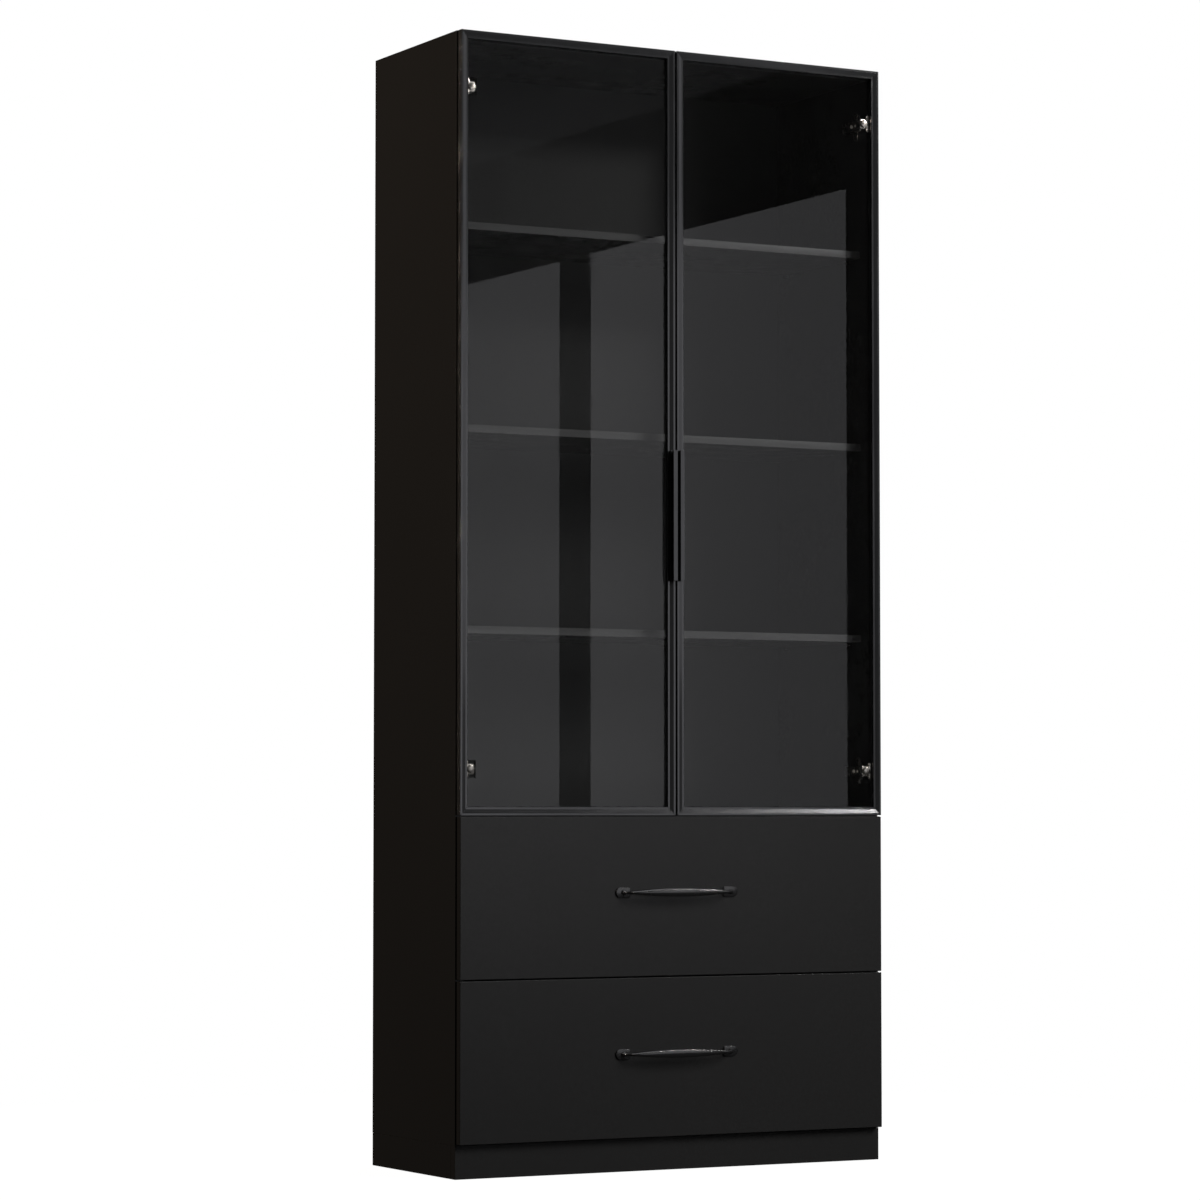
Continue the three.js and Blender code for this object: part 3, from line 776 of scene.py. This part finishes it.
# ---------------------------------------------------------------- shelf pins


PIN_RADIUS = 3.5
PIN_SHANK_RADIUS = 2.4
PIN_PEG_LENGTH = 9.0
PIN_TURNING = (
    ((0.001, 0.0), (1.9, 0.0), (2.9, 0.35), (3.45, 1.1), (PIN_RADIUS, 2.2), (3.15, 2.5), (3.15, 3.1))
    + ((PIN_RADIUS, 3.4), (PIN_RADIUS, 8.6), (3.3, PIN_PEG_LENGTH))
    + ((PIN_SHANK_RADIUS, PIN_PEG_LENGTH),)
)


class CABINET_OT_shelf_pins(Operator):
    """Shelf pins: a turned peg with a groove and a rounded nose, on a thinner shank"""

    bl_idname = "cabinet.shelf_pins"
    bl_label = "Shelf pins"

    def execute(self, context):
        for node in sorted(name for name in BODY_OF_NODE if name.startswith("shelf_pin_")):
            low, high = node_box(node)
            side = 1 if low[0] > 0 else -1
            tip = low[0] if side > 0 else high[0]
            long = (high[0] - low[0]) / MM
            shank_end = ((PIN_SHANK_RADIUS, long - 0.8), (1.7, long), (0.001, long))
            slimming = min(1.0, (high[2] - low[2]) / 2 / (PIN_RADIUS * MM))
            profile = np.array(PIN_TURNING + shank_end) * (slimming, 1.0)
            origin = (tip, *node_middle(node)[1:])
            mesh = turned(node, profile, origin, X * side, 32)
            replace_node(node, mesh, "Dark shelf pin")
        return {"FINISHED"}


# ---------------------------------------------------------------- doors


FRAME_CRISP = 12
BEAD_HEIGHT = 1.6 * MM
BEAD_GAP = 0.02 * MM
GLASS_GAP = 0.03 * MM


class CABINET_OT_door_frames(Operator):
    """Door frames and edge handles with softened arrises, brushed along their length"""

    bl_idname = "cabinet.door_frames"
    bl_label = "Door frames"

    def execute(self, context):
        edge = settings().doors.edge
        for hand, _ in HANDS:
            for part in ("hinge_stile", "meeting_stile"):
                softened(f"{hand}_door_{part}", edge, "Anodised stile", 2, FRAME_CRISP)
            for part in ("top_rail", "bottom_rail"):
                softened(f"{hand}_door_{part}", edge, "Anodised rail", 2, FRAME_CRISP)
            softened(f"{hand}_door_handle", edge, "Anodised handle", 2)
            finish_node(f"{hand}_door_glass", "Grey door glass")
        return {"FINISHED"}


def finish_node(node, finish_name):
    """Gives a CAD node that stays in view its finish."""
    mesh = frame["nodes"][node].data
    mesh.materials.clear()
    mesh.materials.append(material(finish_name))


def bead_section(width, height, steps=6):
    """Quarter-round bead: (across, out) points on a circle's quarter, closed by two flat sides."""
    angle = np.linspace(0, math.pi / 2, steps)
    arc = np.stack((width * np.cos(angle), height * np.sin(angle)), axis=1)
    return np.concatenate(([[0.0, 0.0]], arc))


class CABINET_OT_glazing_beads(Operator):
    """Glazing beads: a quarter-round section carried round the sight line of each pane, mitred"""

    bl_idname = "cabinet.glazing_beads"
    bl_label = "Glazing beads"

    def execute(self, context):
        section = bead_section(settings().doors.bead, BEAD_HEIGHT)
        for hand, _ in HANDS:
            left, right = ("hinge", "meeting") if hand == "left" else ("meeting", "hinge")
            x_low = node_box(f"{hand}_door_{left}_stile")[1][0] + BEAD_GAP
            x_high = node_box(f"{hand}_door_{right}_stile")[0][0] - BEAD_GAP
            z_low = node_box(f"{hand}_door_bottom_rail")[1][2] + BEAD_GAP
            z_high = node_box(f"{hand}_door_top_rail")[0][2] - BEAD_GAP
            face = node_box(f"{hand}_door_glass")[0][1] - GLASS_GAP
            low_corners = ((x_low, z_low, 1, 1), (x_high, z_low, -1, 1))
            high_corners = ((x_high, z_high, -1, -1), (x_low, z_high, 1, -1))
            corners = np.array(low_corners + high_corners)
            across = section[None, :, 0]
            x = corners[:, 0:1] + corners[:, 2:3] * across
            z = corners[:, 1:2] + corners[:, 3:4] * across
            y = np.broadcast_to(face - section[None, :, 1], x.shape)
            mesh = outward(surface("bead", np.stack((x, y, z), axis=2), close_rows=True))
            name = f"{hand}_door_glazing_bead"
            add_piece(name, mesh, "Black rubber", f"{hand}_door", "frame_black", crisp=50)
        return {"FINISHED"}


BUMPER_DOME = ((0.001, 1.0), (0.55, 0.97), (0.85, 0.75), (0.98, 0.4), (1.0, 0.0))


class CABINET_OT_bumpers(Operator):
    """Silicone bumpers on the carcass edges: turned buttons with a domed face"""

    bl_idname = "cabinet.bumpers"
    bl_label = "Bumpers"

    def execute(self, context):
        radius = settings().hardware.bumper_radius
        front = node_box("top_panel")[0][1]
        top_z = node_middle("top_panel")[2]
        low_z = node_box("right_door_bottom_rail")[0][2] + radius + 0.1 * MM
        door_height = (front - node_box("right_door_top_rail")[1][1]) * 0.9
        drawer_height = (front - node_box("upper_drawer_front")[1][1]) * 0.92
        side_x = node_middle("right_side_panel")[0]
        buttons = []
        for _, way in HANDS:
            for x, z in ((0.04, top_z), (0.36, top_z), (0.04, low_z)):
                buttons.append((way * x, z, door_height))
            for level in LEVELS:
                low, high = node_box(f"{level}_drawer_front")
                for z in (low[2] + 0.03, high[2] - 0.03):
                    buttons.append((way * side_x, z, drawer_height))
        meshes = []
        for x, z, height in buttons:
            profile = np.array(BUMPER_DOME) * (radius / MM, height / MM)
            meshes.append(turned("bumper", profile, (x, front + GLUE_GAP, z), -Y, 24))
        mesh = join_meshes("bumpers", meshes)
        add_piece("door_and_drawer_bumpers", mesh, "Clear silicone", "cabinet", "board_black")
        return {"FINISHED"}


# ---------------------------------------------------------------- hinges


EAR_WIDTH = 14.5 * MM
DRUM_WIDTH = 17.0 * MM
DRUM_HEIGHT = 18.0 * MM
DRUM_SINK = 1.0 * MM
BOSS = ((6.6, 0.0), (6.6, 0.7), (6.4, 1.2), (5.6, 1.5), (0.001, 1.5))
RIVET = ((0.001, 0.9), (1.2, 0.8), (1.7, 0.4), (1.8, 0.0))
PLATE_THICKNESS = 2.5 * MM
WING_THICKNESS = 0.8 * PLATE_THICKNESS
WING_SETBACK = 25.7 * MM
TAIL_SETBACK = 8.0 * MM
ARM_HEIGHT = 8.4 * MM
# Each section of the arm: its place as a share of the length, half its width up and down, and how far
# it stands off the plate, in millimetres.
ARM_SECTIONS = (
    (0.0, 6.2, 5.5),
    (0.012, 7.4, 6.6),
    (0.03, 8.3, 7.4),
    (0.06, 8.7, 7.9),
    (0.5, 8.7, 8.4),
    (0.84, 8.6, 8.4),
    (0.87, 8.0, 7.6),
    (0.885, 7.0, 6.6),
)


class CABINET_OT_hinges(Operator):
    """Concealed hinges: rounded arm on a winged plate, cup with ears, and the screws of both"""

    bl_idname = "cabinet.hinges"
    bl_label = "Hinges"

    def execute(self, context):
        for hand, side in HANDS:
            for place in ("upper", "lower"):
                self.arm(f"hinge_arm_{hand}_{place}", side)
                self.cup(f"{hand}_door_hinge_cup_{place}", f"{hand}_door", side)
        return {"FINISHED"}

    def arm(self, node, side):
        """Arm: rounded sections carried front to back that shrink at both ends; plate: wing and tail."""
        low, high = node_box(node)
        middle = node_middle(node)[2]
        wall = high[0] if side > 0 else low[0]
        start, end = low[1], high[1]
        out = -side * X
        axes = (-side * Y, Z, out)
        ring = rounded_ring(1.0, 1.0, 0.28, 6)
        rings = []
        for place, half, tall in ARM_SECTIONS:
            flat = ring * (half * MM, tall * MM / 2)
            lift = PLATE_THICKNESS + tall * MM / 2
            centre = np.array((wall, start + place * (end - start), middle)) + out * lift
            rings.append(centre + flat[:, :1] * Z + flat[:, 1:] * out)
        parts = [outward(surface("arm", np.array(rings)))]
        wing_half = (high[2] - low[2]) / 2
        wing = rounded_ring(7.0 * MM, wing_half, 6.5 * MM, 10)
        wing_y = start + WING_SETBACK
        parts.append(plate("wing", wing, WING_THICKNESS, 0.5 * MM, (wall, wing_y, middle), axes))
        tail = rounded_ring((end - start - TAIL_SETBACK) / 2, 8.2 * MM, 2.5 * MM, 6)
        tail_y = (start + TAIL_SETBACK + end) / 2
        parts.append(plate("tail", tail, PLATE_THICKNESS, 0.4 * MM, (wall, tail_y, middle), axes))
        replace_node(node, join_meshes(node, parts), "Hinge arm steel")
        crown = PLATE_THICKNESS + ARM_HEIGHT
        large = settings().hardware.screw_radius
        arm_screws = (
            (start + 24.0 * MM, middle, crown - 0.2 * MM, large, 1.5 * MM, 0.4),
            (end - 6.5 * MM, middle, PLATE_THICKNESS, large, 3.2 * MM, 1.1),
            (start + 12.5 * MM, middle, crown - 0.4 * MM, 2.3 * MM, 0.9 * MM, 0.2),
        )
        board_screws = (
            (wing_y, middle + wing_half - 7.0 * MM, WING_THICKNESS, 3.6 * MM, 1.4 * MM, 0.7),
            (wing_y, middle - wing_half + 7.0 * MM, WING_THICKNESS, 3.6 * MM, 1.4 * MM, 0.1),
        )
        self.heads(f"{node}_screws", wall, arm_screws, out, "Bright screw")
        self.heads(f"{node}_board_screws", wall, board_screws, out, "Dark screw")

    def heads(self, name, wall, screws, out, finish_name):
        """Heads that face out from a wall, from rows of (y, z, lift, radius, height, spin)."""
        heads = []
        for y, z, lift, size, tall, spin in screws:
            origin = np.array((wall, y, z)) + out * lift
            heads.append(screw_head("screw", origin, out, size, tall, spin))
        add_piece(name, join_meshes(name, heads), finish_name, "cabinet", "hinge_steel", crisp=50)

    def cup(self, node, body, side):
        """Cup: a drum with round corners let into a plate with two ears, and a boss on its face."""
        low, high = node_box(node)
        middle = node_middle(node)[2]
        front, plate_back = low[1], node_box(f"{body}_glass")[1][1] - 0.3 * MM
        inner, outer = (low[0], high[0]) if side > 0 else (high[0], low[0])
        ears = rounded_ring((high[2] - low[2]) / 2, EAR_WIDTH / 2, 2.6 * MM, 9)
        ear_x = outer - side * EAR_WIDTH / 2
        parts = [plate("ears", ears, plate_back - front, 0.6 * MM, (ear_x, front, middle), (Z, X, Y))]
        drum = rounded_ring(DRUM_HEIGHT / 2, DRUM_WIDTH / 2, 3.6 * MM, 9)
        drum_x = inner + side * DRUM_WIDTH / 2
        base = (drum_x, plate_back - DRUM_SINK, middle)
        deep = high[1] - plate_back + DRUM_SINK
        parts.append(plate("drum", drum, deep, 1.6 * MM, base, (Z, X, Y), 6))
        parts.append(turned("boss", BOSS, (drum_x, front + 0.2 * MM, middle), -Y, 36))
        replace_node(node, join_meshes(node, parts), "Nickel hinge")
        heads = []
        for way in (-1, 1):
            origin = (ear_x - side * 4.6 * MM, front + 0.3 * MM, middle + way * 10.6 * MM)
            heads.append(screw_head("screw", origin, -Y, 2.2 * MM, 0.9 * MM, 0.5 + way * 0.3))
            place = (drum_x, high[1] - 4.0 * MM, middle + way * (DRUM_HEIGHT / 2 - 0.05 * MM))
            heads.append(turned("rivet", RIVET, place, Z * way, 20))
        name = f"{node}_screws"
        add_piece(name, join_meshes(name, heads), "Nickel screw", body, "hinge_steel", crisp=50)


# ---------------------------------------------------------------- drawers


NECK_RADIUS = 2.45 * MM
NECK_INSET = 13.5 * MM
NECK_FLARE = 1.7 * MM
SHOULDER_INSET = 14.0 * MM
GRIP_HALF_HEIGHT = 6.75 * MM
FOOT_THICKNESS = 2.5 * MM
FOOT_LENGTH = 27.0 * MM
FOOT_CORNER = 3.0 * MM
WASHER = ((0.001, 0.6), (4.6, 0.6), (4.9, 0.3), (4.9, 0.0))


def foot_outline(half_tall):
    """Outline of a pull's foot: a half circle outside, and an inner end with two round corners."""
    turn = np.linspace(math.pi / 2, 3 * math.pi / 2, 24)
    round_end = half_tall * np.stack((np.cos(turn), np.sin(turn)), axis=1)
    x, z = FOOT_LENGTH - half_tall - FOOT_CORNER, half_tall - FOOT_CORNER
    quarter = np.linspace(0, math.pi / 2, 7)
    low_corner = (x, -z) + FOOT_CORNER * np.stack((np.sin(quarter), -np.cos(quarter)), axis=1)
    high_corner = (x, z) + FOOT_CORNER * np.stack((np.cos(quarter), np.sin(quarter)), axis=1)
    return np.concatenate((round_end, low_corner, high_corner))


class CABINET_OT_pulls(Operator):
    """Drawer pulls: a bowed oval grip that thins to two necks, on two rounded feet, with screws"""

    bl_idname = "cabinet.pulls"
    bl_label = "Drawer pulls"

    def execute(self, context):
        for level in LEVELS:
            self.pull(f"{level}_drawer_pull")
            self.screws(level)
        return {"FINISHED"}

    def grip(self, centre_z, face, crest, reach):
        """Grip: ovals along a bowed curve, tall in the middle as 1 - s^2, drawn in to round necks."""
        shoulder = reach - SHOULDER_INSET
        half = smooth_path(
            [
                (0, crest),
                (shoulder * 0.38, crest + 0.2 * MM),
                (shoulder * 0.7, crest + 0.9 * MM),
                (shoulder, crest + 3.4 * MM),
                (reach - 5.4 * MM, face - 7.4 * MM),
                (reach - 1.0 * MM, face - 2.6 * MM),
                (reach - 0.2 * MM, face - 0.4 * MM),
            ],
            9,
        )
        line = np.concatenate((half[::-1] * (-1, 1), half[1:]))
        along = np.gradient(line, axis=0)
        along /= np.linalg.norm(along, axis=1, keepdims=True)
        out = np.stack((along[:, 1], -along[:, 0]), axis=1)
        sideways = np.abs(line[:, 0])
        crown = 1 - np.clip(sideways / shoulder, 0, 1) ** 2
        flare = NECK_FLARE * np.clip((sideways - (reach - 3.2 * MM)) / (2.6 * MM), 0, 1) ** 2
        tall = NECK_RADIUS + (GRIP_HALF_HEIGHT - NECK_RADIUS) * crown + flare
        thick = NECK_RADIUS + flare
        angle = np.linspace(0, 2 * math.pi, 40, endpoint=False)
        deep = np.cos(angle)[None, :, None] * thick[:, None, None]
        flat = line[:, None] + out[:, None] * deep
        z = centre_z + np.sin(angle) * tall[:, None]
        return outward(surface("grip", np.concatenate((flat, z[:, :, None]), axis=2)))

    def pull(self, node):
        """The pull of one drawer: the grip, and a foot plate under each of its ends."""
        low, high = node_box(node)
        centre_z = node_middle(node)[2]
        back = high[1]
        crest = low[1] + FOOT_THICKNESS
        parts = [self.grip(centre_z, back - FOOT_THICKNESS, crest, high[0] - NECK_INSET)]
        half_tall = (high[2] - low[2]) / 2
        foot = foot_outline(half_tall)
        for side in (-1, 1):
            origin = (side * (high[0] - half_tall), back, centre_z)
            axes = (-side * X, Z, -Y)
            parts.append(plate("foot", foot, FOOT_THICKNESS, 1.0 * MM, origin, axes, 6))
        replace_node(node, join_meshes(node, parts), "Black lacquer pull", crisp=60)

    def screws(self, level):
        """The pull's two screws, each on a washer on the inside of the drawer front."""
        high = node_box(f"{level}_drawer_pull")[1]
        centre_z = node_middle(f"{level}_drawer_pull")[2]
        inside = node_box(f"{level}_drawer_front")[1][1]
        heads = []
        for side in (-1, 1):
            x = side * (high[0] - NECK_INSET)
            heads.append(turned("washer", WASHER, (x, inside - 0.1 * MM, centre_z), Y, 32))
            on_washer = (x, inside + 0.5 * MM, centre_z)
            heads.append(screw_head("screw", on_washer, Y, 3.6 * MM, 2.0 * MM, 0.6 * side))
        name = f"{level}_drawer_pull_screws"
        body = f"{level}_drawer"
        add_piece(name, join_meshes(name, heads), "Zinc runner", body, "runner_steel", crisp=50)


FOLD_RADIUS = 0.3 * MM
WEB_THICKNESS = 1.15 * MM
RAIL_SCREWS = (0.16, 0.55, 0.9)
SLIDE_SCREWS = (0.08, 0.42, 0.86)


class CABINET_OT_runners(Operator):
    """Drawer runners with rounded folds, and the screws that hold rails and slides"""

    bl_idname = "cabinet.runners"
    bl_label = "Drawer runners"

    def execute(self, context):
        for level in LEVELS:
            for hand, side in HANDS:
                rail = f"runner_rail_{level}_{hand}"
                slide = f"{level}_drawer_{hand}_slide"
                softened(rail, FOLD_RADIUS, "Zinc runner", 2)
                softened(slide, FOLD_RADIUS, "Zinc runner", 2)
                self.screws(rail, -side, RAIL_SCREWS)
                self.screws(slide, side, SLIDE_SCREWS)
        return {"FINISHED"}

    def screws(self, node, way, shares):
        """Cross-recess heads on a channel's web, at shares of its length, facing along X times way."""
        low, high = node_box(node)
        middle = node_middle(node)[2]
        web = high[0] if way < 0 else low[0]
        facing = way * X
        heads = []
        for k, part in enumerate(shares):
            y = low[1] + part * (high[1] - low[1])
            origin = np.array((web, y, middle)) + facing * WEB_THICKNESS
            heads.append(screw_head("screw", origin, facing, 3.2 * MM, 1.3 * MM, 0.4 + k))
        name, body = f"{node}_screws", BODY_OF_NODE[node]
        add_piece(name, join_meshes(name, heads), "Nickel screw", body, "runner_steel", crisp=50)


# ---------------------------------------------------------------- stage


# Each lamp: name, place, target, size, power in watts and colour. The last three light only the
# fittings or the door frames.
LAMPS = (
    ("Key softbox", (3.4, -4.2, 3.5), (0.0, 0.0, 1.0), (2.4, 3.0), 350, (0.97, 0.98, 1.0)),
    ("Glint lamp", (3.0, -3.3, 3.0), (0.0, 0.0, 1.0), (0.5, 0.5), 13, (1.0, 0.98, 0.96)),
    ("Rear softbox", (3.4, 3.8, 2.8), (0.1, 0.1, 1.0), (2.0, 2.4), 420, (0.97, 0.98, 1.0)),
    ("Left softbox", (-3.2, 0.7, 2.7), (-0.4, 0.1, 1.2), (1.2, 1.2), 62, (1.0, 0.80, 0.62)),
    ("Fittings lamp", (2.2, -2.8, 2.7), (0.1, 0.0, 1.2), (0.8, 0.8), 10, (1.0, 0.94, 0.90)),
    ("Side fittings lamp", (-2.6, -2.6, 2.3), (0.1, 0.0, 1.2), (0.8, 0.8), 26, (1.0, 0.88, 0.80)),
    ("Frame lamp", (-2.3, 2.4, 1.6), (-0.4, -0.1, 1.1), (2.2, 2.4), 4, (1.0, 0.78, 0.58)),
)
# Each card: name, its ranges along X, Y and Z, and its glow at the far and at the near end.
CARDS = (
    ("studio_wall_near", (2.5, 2.5), (-5.038, -3.587), (0.36, 2.27), 0.72, 0.55),
    ("studio_wall_far", (2.5, 2.5), (-9.0, -5.238), (0.2, 2.27), 0.69, 0.65),
    ("studio_wall_side", (2.5, 2.5), (-2.6, -1.0), (0.9, 2.6), 0.4, 0.4),
    ("studio_ceiling", (-1.6, 2.1), (-3.0, 0.9), (3.9, 3.9), 1.1, 1.1),
    ("studio_wall_top", (2.5, 2.5), (-9.0, -2.4), (2.65, 3.6), 0.09, 0.09),
)
WORLD_GLOW = 0.02
FLOOR_DROP = 0.4 * MM


def area_light(name, place, target, size, power, colour_):
    """A soft rectangular lamp that points at a target and isn't seen by the camera."""
    lamp = bpy.data.lights.new(name, "AREA")
    lamp.shape = "RECTANGLE"
    lamp.size, lamp.size_y = size
    lamp.energy = power
    lamp.color = colour_
    light = bpy.data.objects.new(name, lamp)
    bpy.context.scene.collection.objects.link(light)
    light.location = place
    light.rotation_euler = (Vector(target) - Vector(place)).to_track_quat("-Z", "Y").to_euler()
    light.visible_camera = False
    light.visible_transmission = False
    lamp.cycles.use_multiple_importance_sampling = False
    return light


def slot_pieces(name, slots):
    """A collection of the pieces in the given material slots, for lamps that light only them."""
    collection = bpy.data.collections.new(name)
    for piece in bpy.context.scene.collection.objects:
        if piece.type == "MESH" and piece.get("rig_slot") in slots:
            collection.objects.link(piece)
    return collection


def reflection_wall(name, x_range, y_range, z_range, far_glow, near_glow):
    """A glowing flat card that only mirror-like surfaces pick up, its glow changing along Y."""
    corners = np.array([(x, y, z) for y in y_range for x, z in zip(x_range, z_range)])
    mesh = make_mesh(name, corners[[0, 1, 3, 2]], np.array([[0, 1, 2, 3]]))
    wall = bpy.data.objects.new(name, mesh)
    bpy.context.scene.collection.objects.link(wall)
    glow = bpy.data.materials.new(name)
    glow.use_nodes = True
    tree = glow.node_tree
    tree.nodes.clear()
    along = add(tree, "ShaderNodeSeparateXYZ", {0: object_place(tree)}).outputs["Y"]
    glow_here = spread(tree, along, y_range[0], y_range[1], far_glow, near_glow)
    emission = add(tree, "ShaderNodeEmission", {"Color": (0.965, 0.965, 1.0, 1), "Strength": glow_here})
    add(tree, "ShaderNodeOutputMaterial", {"Surface": emission.outputs[0]})
    mesh.materials.append(glow)
    wall.visible_camera = False
    wall.visible_diffuse = False
    wall.visible_transmission = False
    wall.visible_shadow = False


def world_light(strength):
    """World: white behind the cabinet, and a dim grey for everything the cabinet reflects."""
    world = bpy.data.worlds.new("Studio")
    bpy.context.scene.world = world
    world.use_nodes = True
    tree = world.node_tree
    tree.nodes.clear()
    rays = add(tree, "ShaderNodeLightPath")
    bounced = calc(tree, "ADD", rays.outputs["Glossy Depth"], rays.outputs["Diffuse Depth"])
    straight = calc(tree, "LESS_THAN", bounced, 0.5)
    through = calc(tree, "MULTIPLY", rays.outputs["Is Transmission Ray"], straight)
    seen = calc(tree, "MAXIMUM", rays.outputs["Is Camera Ray"], through)
    white = add(tree, "ShaderNodeBackground", {"Color": (1, 1, 1, 1), "Strength": 1.0})
    grey = add(tree, "ShaderNodeBackground", {"Color": (1.0, 0.97, 0.94, 1), "Strength": strength})
    both = add(tree, "ShaderNodeMixShader", {0: seen, 1: grey.outputs[0], 2: white.outputs[0]})
    add(tree, "ShaderNodeOutputWorld", {"Surface": both.outputs[0]})


def pale_floor(radius):
    """Floor: a disc of rings round the cabinet, matte near it and plain white further out."""
    rings = np.array([0.001, 0.2, 0.4, 0.7, 1.0, 1.5, 2.5, 4.0, 6.0, radius])
    angle = np.linspace(0, 2 * math.pi, 64, endpoint=False)
    x = rings[:, None] * np.cos(angle)
    y = rings[:, None] * np.sin(angle)
    points = np.stack((x, y, np.full_like(x, -FLOOR_DROP)), axis=2)
    mesh = surface("studio_floor", points, cap_ends=False)
    if mesh.polygons[0].normal.z < 0:
        mesh.flip_normals()
    floor = bpy.data.objects.new("studio_floor", mesh)
    bpy.context.scene.collection.objects.link(floor)
    paint = bpy.data.materials.new("Pale floor")
    paint.use_nodes = True
    tree = paint.node_tree
    tree.nodes.clear()
    where = object_place(tree)
    far = add(tree, "ShaderNodeVectorMath", {0: where}, operation="LENGTH").outputs["Value"]
    grain = noise(tree, where, 40.0, 3.0)
    tone = blend_colours(tree, grain, (0.055, 0.055, 0.055), (0.06, 0.06, 0.06))
    matte = add(tree, "ShaderNodeBsdfDiffuse", {"Color": tone})
    glow = add(tree, "ShaderNodeEmission", {"Color": (1, 1, 1, 1), "Strength": 0.985})
    near = add(tree, "ShaderNodeAddShader", {0: matte.outputs[0], 1: glow.outputs[0]})
    white = add(tree, "ShaderNodeEmission", {"Color": (1, 1, 1, 1), "Strength": 1.0})
    fade = spread(tree, far, 0.7, 1.8)
    both = add(tree, "ShaderNodeMixShader", {0: fade, 1: near.outputs[0], 2: white.outputs[0]})
    add(tree, "ShaderNodeOutputMaterial", {"Surface": both.outputs[0]})
    mesh.materials.append(paint)
    floor.visible_diffuse = False
    floor.visible_glossy = False


class CABINET_OT_stage(Operator):
    """Pale floor, soft lamps, glowing cards for the reflections, and the camera"""

    bl_idname = "cabinet.stage"
    bl_label = "Stage"

    def execute(self, context):
        stage = settings().stage
        lens = bpy.data.cameras.new("Camera")
        lens.lens = stage.lens
        lens.sensor_width = 36
        lens.clip_end = 100
        camera = bpy.data.objects.new("Camera", lens)
        context.scene.collection.objects.link(camera)
        round_ = math.radians(stage.camera_side)
        camera.location = (
            -stage.camera_distance * math.sin(round_),
            -stage.camera_distance * math.cos(round_),
            stage.camera_height,
        )
        tilt = math.radians(90 + stage.camera_tilt)
        camera.rotation_euler = (tilt, 0, -math.radians(stage.camera_turn))
        context.scene.camera = camera
        context.scene.view_settings.view_transform = "Standard"
        world_light(WORLD_GLOW)
        pale_floor(stage.floor_radius)
        lamps = {row[0]: area_light(*row) for row in LAMPS}
        lamps["Key softbox"].visible_glossy = False
        lamps["Glint lamp"].visible_diffuse = False
        lamps["Left softbox"].visible_glossy = False
        fittings = slot_pieces("Hinges and pulls", ("hinge_steel", "pull_black"))
        for name in ("Fittings lamp", "Side fittings lamp"):
            lamps[name].light_linking.receiver_collection = fittings
        frames = slot_pieces("Door frames", ("frame_black",))
        lamps["Frame lamp"].light_linking.receiver_collection = frames
        for row in CARDS:
            reflection_wall(*row)
        return {"FINISHED"}


# ---------------------------------------------------------------- panel and registration


class CABINET_PT_panel(Panel):
    """Buttons that build each group of pieces, with their sizes and colours"""

    bl_label = "China Cabinet"
    bl_space_type = "VIEW_3D"
    bl_region_type = "UI"
    bl_category = "Cabinet"

    def draw(self, context):
        cabinet = context.scene.china_cabinet
        for title, group, operators in PANEL_SECTIONS:
            section = self.layout.box()
            section.label(text=title)
            values = getattr(cabinet, group)
            for key in values.bl_rna.properties.keys():
                if key not in ("rna_type", "name"):
                    section.prop(values, key)
            for operator in operators:
                section.operator(operator.bl_idname)


BOARD_OPERATORS = (
    CABINET_OT_boards,
    CABINET_OT_edge_tapes,
    CABINET_OT_back_nails,
    CABINET_OT_shelf_pins,
)
PANEL_SECTIONS = (
    ("Boards", "boards", BOARD_OPERATORS),
    ("Doors", "doors", (CABINET_OT_door_frames, CABINET_OT_glazing_beads, CABINET_OT_bumpers)),
    ("Hardware", "hardware", (CABINET_OT_hinges, CABINET_OT_pulls, CABINET_OT_runners)),
    ("Stage", "stage", (CABINET_OT_stage,)),
)
OPERATORS = tuple(operator for _, _, operators in PANEL_SECTIONS for operator in operators)
GROUPS = (BoardSettings, DoorSettings, HardwareSettings, StageSettings, CabinetSettings)
CLASSES = GROUPS + OPERATORS + (CABINET_PT_panel,)


def register():
    """Registers the classes and hangs the settings on the scene."""
    for cls in CLASSES:
        bpy.utils.register_class(cls)
    bpy.types.Scene.china_cabinet = PointerProperty(type=CabinetSettings)


def unregister():
    """Takes the settings and the classes away again."""
    del bpy.types.Scene.china_cabinet
    for cls in reversed(CLASSES):
        bpy.utils.unregister_class(cls)


def main():
    """Makes the finishes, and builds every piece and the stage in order."""
    register()
    build_finishes()
    for operator in OPERATORS:
        module, name = operator.bl_idname.split(".")
        getattr(getattr(bpy.ops, module), name)()


if __name__ == "__main__":
    main()
